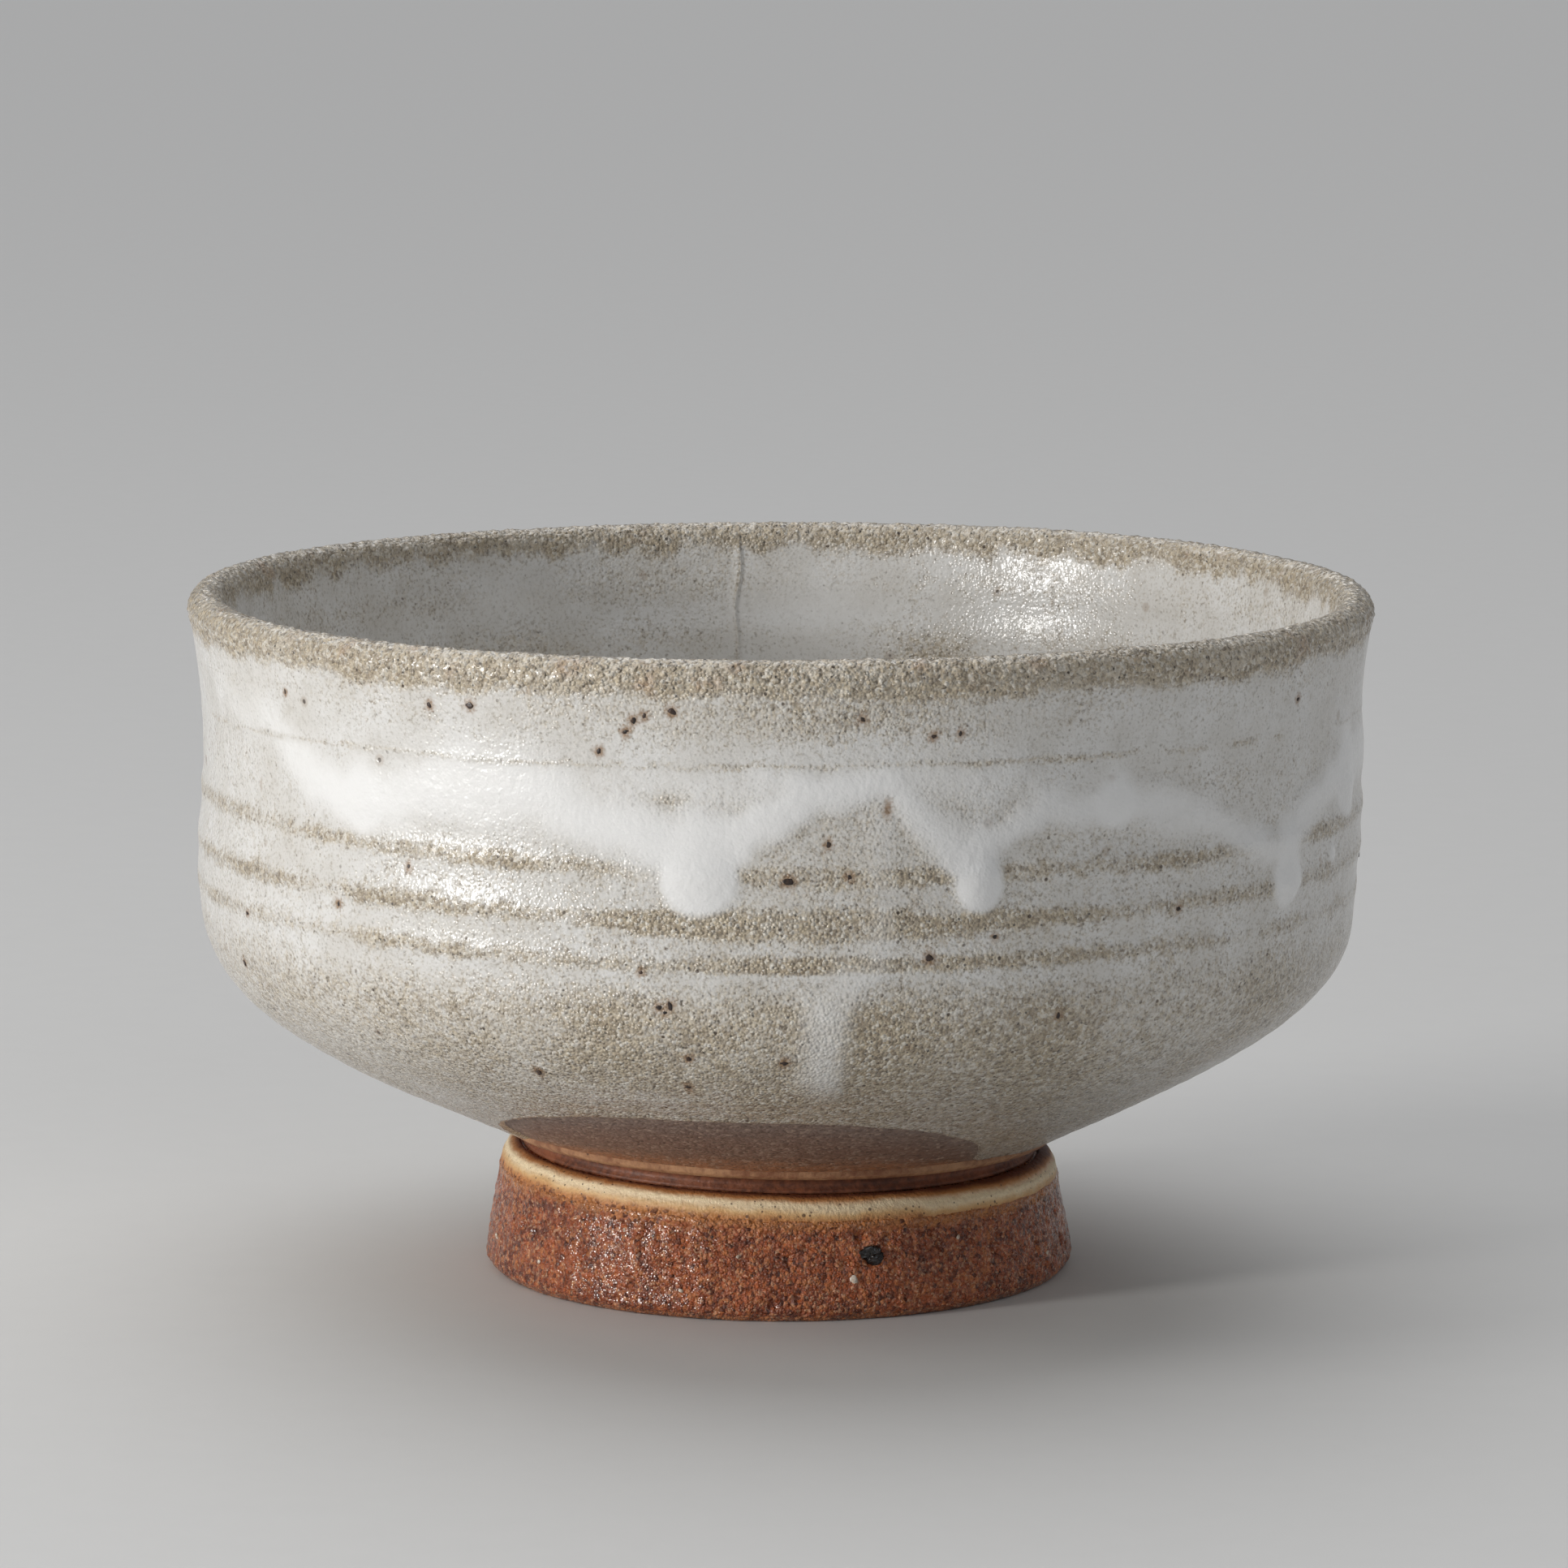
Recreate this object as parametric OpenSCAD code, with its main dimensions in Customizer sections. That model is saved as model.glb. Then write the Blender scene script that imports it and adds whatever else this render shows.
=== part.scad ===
// Matcha bowl: a wheel-thrown stoneware tea bowl on a luted foot ring. A thin pale glaze covers
// it inside and out, a second, white glaze is poured round the wall and ran down in drips, and
// the foot is bare clay. Millimetres, +Z up, origin at the centre of the resting face.

/* [Bowl] */
// Outside diameter at the lip
rim_d = 130; // [118:1:140]
// Height from the resting face to the top of the lip
bowl_h = 75.6; // [72:0.2:84]
// Outside diameter of the belly, low on the wall
belly_d = 128.6; // [116:0.2:136]
// Height of the belly, where the wall turns under
belly_z = 46.7; // [42:0.1:50]
// Outward lean of the wall at the lip, in degrees
flare = 8.3; // [4:0.1:12]
// Rise of the underside where it leaves the foot, in degrees
underside_rise = 24.2; // [18:0.1:28]
// Wall thickness at the lip, glaze included
lip_t = 3.8; // [3:0.1:5]
// Wall thickness beside the foot, glaze included
floor_t = 6.5; // [5.5:0.1:8]
// Height of the floor inside, above the resting face
floor_z = 18.6; // [18:0.1:20]
// Radius of the tea pool, the shallow dip in the floor
pool_r = 19; // [14:0.5:22]
// Depth of the tea pool
pool_depth = 0.9; // [0.4:0.1:1.2]

/* [Foot] */
// Widest radius of the foot ring, just above its bevel
foot_r = 32.6; // [28:0.1:34]
// Radius of the foot ring at its shoulder
shoulder_r = 30.9; // [29:0.1:32]
// Height of the foot ring's top face
foot_h = 13.4; // [12:0.1:14]
// Inside radius of the foot ring where it stands
foot_bore_r = 26.3; // [24:0.1:27]
// Height and width of the bevel at the foot's outer edge
foot_bevel = 1; // [0.5:0.1:1.5]
// Radius of the trimmed ledge above the foot
ledge_r = 31; // [30:0.1:33]
// Thickness of the slip joint between the foot ring and the bowl
joint_t = 1.9; // [1.5:0.1:2.4]
// Depth of the recess that the joint leaves between the foot's shoulder and the ledge
joint_recess = 0.5; // [0.2:0.1:0.8]

/* [Glazes] */
// Thickness of the pale glaze
glaze_t = 0.8; // [0.5:0.1:1]
// Thickness of the brown wash on the bare clay beside the foot
wash_t = 0.5; // [0.2:0.1:0.7]
// Thickness of the cream slip on the foot's shoulder
shoulder_slip_t = 0.35; // [0.2:0.05:0.5]
// Thickness of the white pour round the wall
pour_t = 0.35; // [0.2:0.05:0.5]
// How far a drip stands proud of the glaze
drip_t = 0.6; // [0.4:0.05:0.7]

/* [Hidden] */
$fn = 128;

under_steps = 18;
wall_steps = 14;
lip_steps = 10;
floor_steps = 22;
lip_r = lip_t / 2;
lip_centre = [rim_d / 2 - lip_r, bowl_h - lip_r];
rim_band = 1;                    // wall steps on each side that the rough rim glaze covers
line_step = 7;                   // underside step at which the pale glaze stops
ledge_z = foot_h + joint_t;
pad_r = foot_bore_r - 1.8;       // base pad that keys into the foot ring
pad_z = foot_h - 1.4;
tokin_z = pad_z - 0.8;           // tip of the small cone left in the middle of the base
bore_top_r = foot_bore_r - 1;
joint_fillet = 1.2;              // radius of the wiped corner inside the foot
pour_z = [56.5, 66.5];           // lower and upper edge of the white pour
pour_steps = 8;

function bezier(p, t) =
    pow(1 - t, 3) * p[0] + 3 * t * pow(1 - t, 2) * p[1] + 3 * t * t * (1 - t) * p[2] + pow(t, 3) * p[3];

// Evens out the steps along the wall, which bunch up at the belly.
function ease(u) = u * (1.4 - 0.4 * u);

// Finished outside surface: the underside from the ledge to the belly, then the wall to the lip.
under_curve = [
    [ledge_r, ledge_z + 0.6],
    [ledge_r, ledge_z + 0.6] + 34 * [cos(underside_rise), sin(underside_rise)],
    [belly_d / 2, belly_z - 13],
    [belly_d / 2, belly_z]
];
lip_start = lip_centre + lip_r * [cos(flare), -sin(flare)];
wall_curve = [
    [belly_d / 2, belly_z],
    [belly_d / 2, belly_z + 6.5],
    lip_start - 17.8 * [sin(flare), cos(flare)],
    lip_start
];
outer_half = concat(
    [for (i = [0 : under_steps - 1]) bezier(under_curve, i / under_steps)],
    [for (i = [0 : wall_steps]) bezier(wall_curve, ease(i / wall_steps))]
);
outer_n = len(outer_half);

function unit(v) = v / norm(v);
// Normal of a path at point i, turned outwards for a path that climbs with the clay on its left.
function path_normal(path, i) =
    let (step = unit(path[min(i + 1, len(path) - 1)] - path[max(i - 1, 0)]))
    [step[1], -step[0]];

// Wall thickness grows smoothly from the lip down to the foot.
function wall_t(i) = lip_t + (floor_t - lip_t) * pow(1 - i / (outer_n - 1), 1.5);

inner_half = [
    for (i = [outer_n - 1 : -1 : 0]) outer_half[i] - wall_t(i) * path_normal(outer_half, i)
];
inner_foot = inner_half[outer_n - 1];
floor_curve = [
    inner_foot,
    inner_foot - 5.5 * [cos(underside_rise), sin(underside_rise)],
    [12, floor_z],
    [0, floor_z]
];
function pool_dip(r) = r < pool_r ? pool_depth * (1 - cos(180 * min(1, (pool_r - r) / 5))) / 2 : 0;
floor_half = [
    for (i = [1 : floor_steps])
        let (p = bezier(floor_curve, i / floor_steps)) [p[0], p[1] - pool_dip(p[0])]
];
lip_arc = [
    for (i = [1 : lip_steps - 1])
        let (a = -flare + 180 * i / lip_steps) lip_centre + lip_r * [cos(a), sin(a)]
];

// The whole finished skin, from the ledge over the lip to the middle of the floor.
skin = concat(outer_half, lip_arc, inner_half, floor_half);
skin_n = len(skin);
i_line = line_step;
i_rim_out = outer_n - 1 - rim_band;
i_rim_in = outer_n + lip_steps - 1 + rim_band;
i_end = skin_n - 1;

// Skin point i, sunk by d into the clay. The last point stays on the axis.
function sunk(i, d) = i == i_end ? skin[i] - [0, d] : skin[i] - d * path_normal(skin, i);

// Ring between two depths of the skin, from point i0 to point i1.
module coat(i0, i1, d_out, d_in) {
    rotate_extrude()
        polygon(concat(
            [for (i = [i0 : i1]) sunk(i, d_out)],
            [for (i = [i1 : -1 : i0]) sunk(i, d_in)]
        ));
}

// Finished outside radius of the wall at height z.
wall_table = [for (p = outer_half) [p[1], p[0]]];
function wall_r(z) = lookup(z, wall_table);

// Radius of the foot ring's bore at height z: it narrows upwards.
function bore_r(z) = foot_bore_r + (bore_top_r - foot_bore_r) * z / foot_h;

// Outside of the foot ring, from the resting face to its top face.
foot_wall = [
    [foot_r - foot_bevel, 0],
    [foot_r, foot_bevel],
    [foot_r - 0.35 * (foot_r - shoulder_r), foot_h * 0.4],
    [shoulder_r, foot_h - 2.6]
];
shoulder_arc = [
    for (i = [1 : 8])
        let (a = 90 * i / 8) [shoulder_r - 2 + 2 * cos(a), foot_h - 2.6 + 2.6 * sin(a)]
];
shoulder_skin = concat([foot_wall[3]], shoulder_arc);
joint_r = shoulder_skin[8][0] - 0.4;
function shoulder_sunk(i, d) =
    i == 8 ? shoulder_skin[i] - [0, d] : shoulder_skin[i] - d * path_normal(shoulder_skin, i);

module clay_bowl() {
    color("Tan")
        rotate_extrude()
            polygon(concat(
                [[0, tokin_z], [3, tokin_z + 0.15], [8, pad_z], [pad_r, pad_z], [pad_r, ledge_z],
                 [ledge_r - 0.5, ledge_z], [ledge_r, ledge_z + 0.6]],
                [for (i = [0 : i_end]) sunk(i, glaze_t)]
            ));
}

module foot_ring() {
    color("Sienna")
        difference() {
            foot_ring_body();
            black_stone_shape();
        }
}

module foot_ring_body() {
    rotate_extrude()
        polygon(concat(
            [[foot_bore_r, 0]],
            foot_wall,
            [for (i = [0 : 8]) shoulder_sunk(i, shoulder_slip_t)],
            [[joint_r, foot_h], [bore_top_r, foot_h]]
        ));
}

// Ring of slip that joins the foot ring to the bowl, with a wiped fillet inside the foot.
module foot_joint() {
    fillet_z = pad_z - joint_fillet;
    fillet_r = bore_r(fillet_z) - joint_fillet;
    color("SaddleBrown")
        rotate_extrude()
            polygon(concat(
                [[pad_r, ledge_z], [joint_r, ledge_z]],
                [for (i = [1 : 5])
                    [joint_r - joint_recess * sin(180 * i / 6), ledge_z - joint_t * i / 6]],
                [[joint_r, foot_h], [bore_top_r, foot_h]],
                [for (a = [0 : 15 : 90]) [fillet_r, fillet_z] + joint_fillet * [cos(a), sin(a)]],
                [[pad_r, pad_z]]
            ));
}

module outer_glaze() {
    color("Gainsboro")
        coat(i_line, i_rim_out, 0, glaze_t);
}

module inner_glaze() {
    color("WhiteSmoke")
        coat(i_rim_in, i_end, 0, glaze_t);
}

module rim_glaze() {
    color("DarkKhaki")
        coat(i_rim_out, i_rim_in, 0, glaze_t);
}

module foot_wash() {
    color("RosyBrown")
        coat(0, i_line, glaze_t - wash_t, glaze_t);
}

module shoulder_slip() {
    color("NavajoWhite")
        rotate_extrude()
            polygon(concat(
                shoulder_skin,
                [for (i = [8 : -1 : 0]) shoulder_sunk(i, shoulder_slip_t)]
            ));
}

// White glaze poured round the wall: a low swell that fades out at both edges.
function pour_at(z) =
    z <= pour_z[0] || z >= pour_z[1] ? 0 : pour_t * sin(180 * (z - pour_z[0]) / (pour_z[1] - pour_z[0]));
function pour_edge(k) = pour_z[0] + (pour_z[1] - pour_z[0]) * k / pour_steps;
pour_skin = [for (k = [0 : pour_steps]) [wall_r(pour_edge(k)) + pour_at(pour_edge(k)), pour_edge(k)]];

// The finished wall between two heights, as a path.
function wall_path(z0, z1) = concat(
    [[wall_r(z0), z0]],
    [for (p = outer_half) if (p[1] > z0 + 0.02 && p[1] < z1 - 0.02) p],
    [[wall_r(z1), z1]]
);
function reversed(path) = [for (i = [len(path) - 1 : -1 : 0]) path[i]];

module white_pour() {
    color("White")
        rotate_extrude()
            polygon(concat(pour_skin, reversed(wall_path(pour_z[0], pour_z[1]))));
}

// Drips as [azimuth, height of the lower end, width]. Azimuth 270 faces front.
DRIPS = [
    [227, 55.5, 9], [262.7, 50, 8], [288.7, 49.3, 6], [302, 54.5, 7], [326.4, 46, 7],
    [341.6, 53.3, 10], [12, 51, 7], [38, 54.3, 9], [63, 48.5, 6], [92, 52.3, 8],
    [118, 55, 9], [141, 50, 6.5], [166, 53.5, 9]
];
// Runs of white glaze that slid clear of the pour, as [azimuth, lower end, upper end, width].
RUNS = [[274.2, 29.5, 42.5, 6.8], [279, 44.5, 52.5, 3.6], [103, 34, 43, 6]];

// Thickness of a drip at fraction s of its length: a bead at the foot that thins to top_t.
function bead(s, top_t) =
    drip_t * sin(90 * min(1, s / 0.2)) * (1 - max(0, s - 0.2) / 0.8) + top_t * max(0, s - 0.2) / 0.8;

// Tongue of glaze with a round foot. Its back follows the wall, and the pour where it meets that.
module tongue(azimuth, z0, z1, width, top_t) {
    steps = 10;
    half_angle = asin(width / wall_r(z0) / 1.7);
    below = top_t > 0 ? wall_path(z0, pour_z[0]) : wall_path(z0, z1);
    above = top_t > 0 ? [for (p = pour_skin) if (p[1] > pour_z[0] && p[1] < z1 + 0.01) p] : [];
    crest = [
        for (k = [1 : steps - 1])
            let (z = z0 + (z1 - z0) * pow(k / steps, 1.5))
            [wall_r(z) + bead(pow(k / steps, 1.5), top_t), z]
    ];
    rotate([0, 0, azimuth])
        intersection() {
            rotate([0, 0, -half_angle])
                rotate_extrude(angle = 2 * half_angle)
                    polygon(concat(crest, reversed(concat(below, above))));
            outline(width, z0 + width / 2, top_t > 0 ? z1 + 1 : z1 - width / 2);
        }
}

// Upright slot shape that runs outwards through the wall, with round ends at heights low and high.
module outline(width, low, high) {
    union() {
        for (z = [low, high])
            translate([40, 0, z])
                rotate([0, 90, 0])
                    cylinder(h = 30, d = width);
        translate([40, -width / 2, low])
            cube([30, width, high - low]);
    }
}

module glaze_drips() {
    color("White")
        union() {
            for (d = DRIPS)
                tongue(d[0], d[1], pour_edge(pour_steps / 2), d[2], pour_t);
            for (d = RUNS)
                tongue(d[0], d[1], d[2], d[3], 0);
        }
}

// Ridge where two pours of the inner glaze overlap, at the back of the bowl.
module inner_seam() {
    color("White")
        rotate([0, 0, 94.7])
            rotate_extrude(angle = 0.7)
                polygon(concat(
                    [for (i = [i_rim_in : i_rim_in + 14]) sunk(i, -0.25)],
                    [for (i = [i_rim_in + 14 : -1 : i_rim_in]) sunk(i, 0)]
                ));
}

// Iron specks in the pale glaze as [azimuth, height, radius].
SPECKS = [
    [235.9, 69.7, 0.45], [240.5, 70, 0.35], [216, 68.9, 0.3], [260.2, 70.4, 0.4],
    [256.6, 69.4, 0.35], [277.4, 69.7, 0.3], [284, 67.8, 0.35], [286.5, 68, 0.3],
    [283.8, 45, 0.45], [259.9, 40.1, 0.4], [258.8, 39.8, 0.35], [261.3, 34.2, 0.5],
    [245, 31.4, 0.4], [268.5, 33.9, 0.35], [257.2, 43.5, 0.35], [224, 47.5, 0.35],
    [310, 48, 0.35], [5, 69.5, 0.4], [30, 42, 0.45], [48, 69, 0.3], [75, 45, 0.4],
    [98, 69.5, 0.35], [112, 47, 0.45], [155, 44, 0.4], [182, 68.5, 0.35], [205, 38, 0.4]
];
speck_rise = 0.12;               // how far a speck stands proud of the glaze

module iron_specks() {
    color("DarkSlateGray")
        for (s = SPECKS)
            let (low = s[1] - 1, high = s[1] + 1)
                rotate([0, 0, s[0]])
                    intersection() {
                        rotate([0, 0, -1])
                            rotate_extrude(angle = 2)
                                polygon(concat(
                                    [for (p = wall_path(low, high)) p + [speck_rise, 0]],
                                    reversed(wall_path(low, high))
                                ));
                        translate([40, 0, s[1]])
                            rotate([0, 90, 0])
                                cylinder(h = 30, r = s[2]);
                    }
}

// Stone that melted to black glass in the foot wall.
module black_stone_shape() {
    rotate([0, 0, 288.9])
        translate([foot_r - 1.3, 0, 7.2])
            sphere(1.1);
}

module black_stone() {
    color("Black")
        black_stone_shape();
}

// Feldspar grains in the foot wall as [azimuth, height, radius].
GRAINS = [
    [284.6, 4.1, 0.45], [216, 3.6, 0.4], [238, 8.6, 0.4], [251, 3.1, 0.35], [262, 7, 0.35],
    [308, 8.2, 0.4], [336, 3.8, 0.45], [10, 7.2, 0.35], [42, 4.2, 0.4], [77, 8.4, 0.4],
    [118, 3.6, 0.45], [151, 7.5, 0.4], [195, 4.1, 0.4]
];

function foot_wall_r(z) = lookup(z, [for (p = foot_wall) [p[1], p[0]]]);

module feldspar_grains() {
    color("Linen")
        for (g = GRAINS)
            difference() {
                rotate([0, 0, g[0]])
                    translate([foot_wall_r(g[1]), 0, g[1]])
                        sphere(g[2]);
                foot_ring_body($fn = 720);
            }
}

clay_bowl();
foot_ring();
foot_joint();
outer_glaze();
inner_glaze();
rim_glaze();
foot_wash();
shoulder_slip();
white_pour();
glaze_drips();
inner_seam();
iron_specks();
black_stone();
feldspar_grains();
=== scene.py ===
"""Looks of a hand-thrown matcha bowl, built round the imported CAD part.

The CAD gives the section of the bowl in millimetres. Each visible piece is a ring-shaped mesh
through that section, with the potter's marks, the glaze's thickness and the clay's grit as real
relief, and with a procedural material that reads where the glaze is thick or thin.
"""

import itertools
import math

import bpy
import numpy as np
from mathutils import Matrix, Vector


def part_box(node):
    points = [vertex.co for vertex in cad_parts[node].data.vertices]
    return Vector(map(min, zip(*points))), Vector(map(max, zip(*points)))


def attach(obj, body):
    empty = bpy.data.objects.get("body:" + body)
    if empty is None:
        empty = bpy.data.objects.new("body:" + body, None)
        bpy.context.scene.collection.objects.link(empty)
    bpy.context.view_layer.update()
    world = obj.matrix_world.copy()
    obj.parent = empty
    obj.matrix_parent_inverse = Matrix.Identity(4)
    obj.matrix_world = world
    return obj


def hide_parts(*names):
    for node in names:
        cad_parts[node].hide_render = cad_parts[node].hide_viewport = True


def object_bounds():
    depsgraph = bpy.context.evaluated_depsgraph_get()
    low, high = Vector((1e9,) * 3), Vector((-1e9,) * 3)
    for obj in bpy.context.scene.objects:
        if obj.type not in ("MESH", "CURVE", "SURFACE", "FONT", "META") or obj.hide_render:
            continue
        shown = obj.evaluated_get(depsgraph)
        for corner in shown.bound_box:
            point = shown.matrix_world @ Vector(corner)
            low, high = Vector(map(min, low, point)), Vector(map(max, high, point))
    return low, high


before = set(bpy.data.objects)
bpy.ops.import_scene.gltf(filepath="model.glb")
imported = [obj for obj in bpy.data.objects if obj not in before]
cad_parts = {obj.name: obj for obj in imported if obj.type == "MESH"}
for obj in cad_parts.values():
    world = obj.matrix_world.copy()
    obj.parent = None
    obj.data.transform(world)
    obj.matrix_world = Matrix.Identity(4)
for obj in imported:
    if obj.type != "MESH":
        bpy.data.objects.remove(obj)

cad_low, cad_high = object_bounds()

MM = 0.001
RIM_R = max(cad_high.x, cad_high.y) / MM
BOWL_H = cad_high.z / MM
FOOT_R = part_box("foot_ring")[1].x / MM
FOOT_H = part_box("foot_ring")[1].z / MM
SHOULDER_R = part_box("shoulder_slip")[1].x / MM
LEDGE_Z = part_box("foot_joint")[1].z / MM
LEDGE_R = 31.0
BELLY_R, BELLY_Z = 64.3, 46.7
FLARE, RISE = math.radians(8.3), math.radians(24.2)  # lean of the lip, slope of the underside
LIP_T, FLOOR_T, FLOOR_Z = 3.8, 6.5, 18.6
POOL_R, POOL_DEPTH = 19.0, 0.9  # the shallow well in the middle of the floor
BORE_R, BORE_TOP_R = 26.3, 25.3  # the foot's bore, at the floor and on top
PAD_R, PAD_Z, TOKIN_Z = 24.5, 12.0, 11.2  # the turned hollow under the bowl, and its middle point
JOINT_R = 28.5
CORNER_W, CORNER_H = 2.0, 2.6  # the rounded corner on top of the foot, which the slip covers
CORNER_Z = FOOT_H - CORNER_H
FOOT_WALL = [(FOOT_R - 1, 0), (FOOT_R, 1), (FOOT_R - 0.6, 0.4 * FOOT_H), (SHOULDER_R, CORNER_Z)]
GLAZE_T, WASH_T = 0.8, 0.5
WALL_R = 64.0  # mean radius of the wall, to turn angles into lengths along it
LIP_Z = 71.4  # height at which the lip's glaze meets the outer and the inner glaze
SEAM_PHI, SEAM_R, SEAM_Z = 184.6, 61.0, 46.0  # the seam inside: its angle, its radius and its lower end
FOOT_LEAN = 0.12  # how far the foot's side leans in, in radians


# ---------------------------------------------------------------- numbers and noise


def smooth(low, high, x):
    t = np.clip((x - low) / (high - low), 0, 1)
    return t * t * (3 - 2 * t)


def bell(x, centre, width):
    return np.exp(-(((x - centre) / width) ** 2))


def turn(a, b):
    """Signed angle from b to a in degrees, from -180 to 180."""
    return (a - b + 180) % 360 - 180


def hashed(i, j, k, seed):
    """A repeatable random number from 0 to 1 for each cell of a grid."""
    h = (i * 73856093) ^ (j * 19349663) ^ (k * 83492791) ^ (seed * 26544357)
    h = (h & 0x7FFFFFFF) * 1274126177 & 0x7FFFFFFFFFFF
    h = (h ^ (h >> 15)) * 668265263 & 0x7FFFFFFFFFFF
    return ((h ^ (h >> 17)) & 0xFFFFFF) / float(0xFFFFFF)


def noise(p, size, seed):
    """Value noise from -1 to 1 over points in millimetres, with features of the given size."""
    q = p / size
    c = np.floor(q).astype(np.int64)
    f = q - c
    f = f * f * f * (f * (f * 6 - 15) + 10)
    total = 0
    for corner in itertools.product((0, 1), repeat=3):
        weight = np.prod([f[..., k] if corner[k] else 1 - f[..., k] for k in range(3)], axis=0)
        total = total + weight * hashed(*(c[..., k] + corner[k] for k in range(3)), seed)
    return total * 2 - 1


def rough(p, size, seed, octaves=3):
    total, weight = 0, 1.0
    for k in range(octaves):
        total = total + weight * noise(p, size / 2**k, seed + 17 * k)
        weight *= 0.5
    return total / (2 - 2 ** (1 - octaves))


def lumps(p, size, seed):
    """Rounded grains: 1 at the middle of a grain, 0 half way to the next."""
    q = p / size
    c = np.floor(q).astype(np.int64)
    best = np.full(q.shape[:-1], 9.0)
    for near in itertools.product((-1, 0, 1), repeat=3):
        cell = [c[..., k] + near[k] for k in range(3)]
        gap = sum((cell[k] + hashed(*cell, seed + k) - q[..., k]) ** 2 for k in range(3))
        best = np.minimum(best, gap)
    return np.clip(1 - np.sqrt(best) * 1.25, 0, 1)


# ---------------------------------------------------------------- the bowl's section


def bezier(points, t):
    p, t = np.array(points, float), np.asarray(t)[:, None]
    return (1 - t) ** 3 * p[0] + 3 * t * (1 - t) ** 2 * p[1] + 3 * t * t * (1 - t) * p[2] + t**3 * p[3]


def path_normals(path):
    step = np.gradient(path, axis=0)
    step /= np.linalg.norm(step, axis=1)[:, None]
    return np.stack([step[:, 1], -step[:, 0]], 1)


def make_skin():
    """The finished skin from the ledge over the lip to the middle of the floor, as the CAD has it."""
    lip_r = LIP_T / 2
    lip = np.array([RIM_R - lip_r, BOWL_H - lip_r])
    rise = np.array([math.cos(RISE), math.sin(RISE)])
    ledge = np.array([LEDGE_R, LEDGE_Z + 0.6])
    under = [ledge, ledge + 34 * rise, [BELLY_R, BELLY_Z - 13], [BELLY_R, BELLY_Z]]
    top = lip + lip_r * np.array([math.cos(FLARE), -math.sin(FLARE)])
    wall = [
        [BELLY_R, BELLY_Z],
        [BELLY_R, BELLY_Z + 6.5],
        top - 17.8 * np.array([math.sin(FLARE), math.cos(FLARE)]),
        top,
    ]
    under_steps, wall_steps, fine = 18, 14, 16
    index = np.linspace(0, under_steps + wall_steps, (under_steps + wall_steps) * fine + 1)
    low = index < under_steps
    up = (index[~low] - under_steps) / wall_steps
    outer = np.concatenate([bezier(under, index[low] / under_steps), bezier(wall, up * (1.4 - 0.4 * up))])
    thick = LIP_T + (FLOOR_T - LIP_T) * (1 - index / index[-1]) ** 1.5
    inner = (outer - thick[:, None] * path_normals(outer))[::-1]
    angle = np.linspace(-FLARE, math.pi - FLARE, 61)[1:-1]
    arc = lip + lip_r * np.stack([np.cos(angle), np.sin(angle)], 1)
    floor_stops = [inner[-1], inner[-1] - 5.5 * rise, [12, FLOOR_Z], [0, FLOOR_Z]]
    floor = bezier(floor_stops, np.linspace(0, 1, 161)[1:])
    dip = np.clip((POOL_R - floor[:, 0]) / 5, 0, 1)
    floor[:, 1] -= POOL_DEPTH * (1 - np.cos(math.pi * dip)) / 2
    path = np.concatenate([outer, arc, inner, floor])
    length = np.concatenate([[0], np.cumsum(np.linalg.norm(np.diff(path, axis=0), axis=1))])
    marks = {
        "lip_out": length[len(outer) - 1],
        "lip_in": length[len(outer) + len(arc)],
        "end": length[-1],
    }
    return path, path_normals(path), length, marks, outer[:, 1], length[: len(outer)]


SKIN, SKIN_N, SKIN_S, MARK, OUTER_Z, OUTER_S = make_skin()


def skin(s, sunk=0.0):
    """Radius and height of the skin at arc length s, sunk into the clay."""
    r = np.interp(s, SKIN_S, SKIN[:, 0]) - sunk * np.interp(s, SKIN_S, SKIN_N[:, 0])
    z = np.interp(s, SKIN_S, SKIN[:, 1]) - sunk * np.interp(s, SKIN_S, SKIN_N[:, 1])
    return np.maximum(r, 0), z


def on_skin(phi, s, off):
    """Points that stand off the skin at arc length s and angle phi, before the warp."""
    return place(phi, *skin(s, -off))


def wall_s(z):
    """Arc length at which the outside of the bowl reaches height z."""
    return np.interp(z, OUTER_Z, OUTER_S)


def inner_s(z):
    """Arc length at which the inside wall comes down to height z."""
    inside = SKIN_S > MARK["lip_in"]
    return float(np.interp(-z, -SKIN[inside, 1], SKIN_S[inside]))


# ---------------------------------------------------------------- marks that the potter left


def warp(p):
    """Small unevenness of the whole bowl, the same for every piece. Points are in millimetres."""
    x, y, z = p[..., 0], p[..., 1], p[..., 2]
    r = np.hypot(x, y) + 1e-9
    side, ahead = x / r, -y / r
    right = (1 + side) / 2
    tilt = -0.55 * side * smooth(1, 9, z) * (1 - smooth(15.5, 26, z)) * smooth(8, 24, r)
    around = np.arctan2(side, ahead)
    oval = 0.18 * smooth(22, 45, z) * np.sin(2 * around + 0.8) * (1 - smooth(66, 75, z))
    push = right * (0.4 * bell(z, 57, 7) - 0.7 * bell(z, 43, 6)) + oval
    dip = 0.16 * np.sin(3 * around + 1.1) * smooth(60, 76, z)
    scale = 1 + push * smooth(30, 50, r) / r
    return np.stack([x * scale, y * scale, z + tilt + dip], -1)


def place(phi, r, z):
    """Points at angle phi in degrees, 0 at the front and 90 at the right, before the warp."""
    a = np.radians(phi)
    return np.stack([r * np.sin(a), -r * np.cos(a), z + 0 * a], -1)


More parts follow.
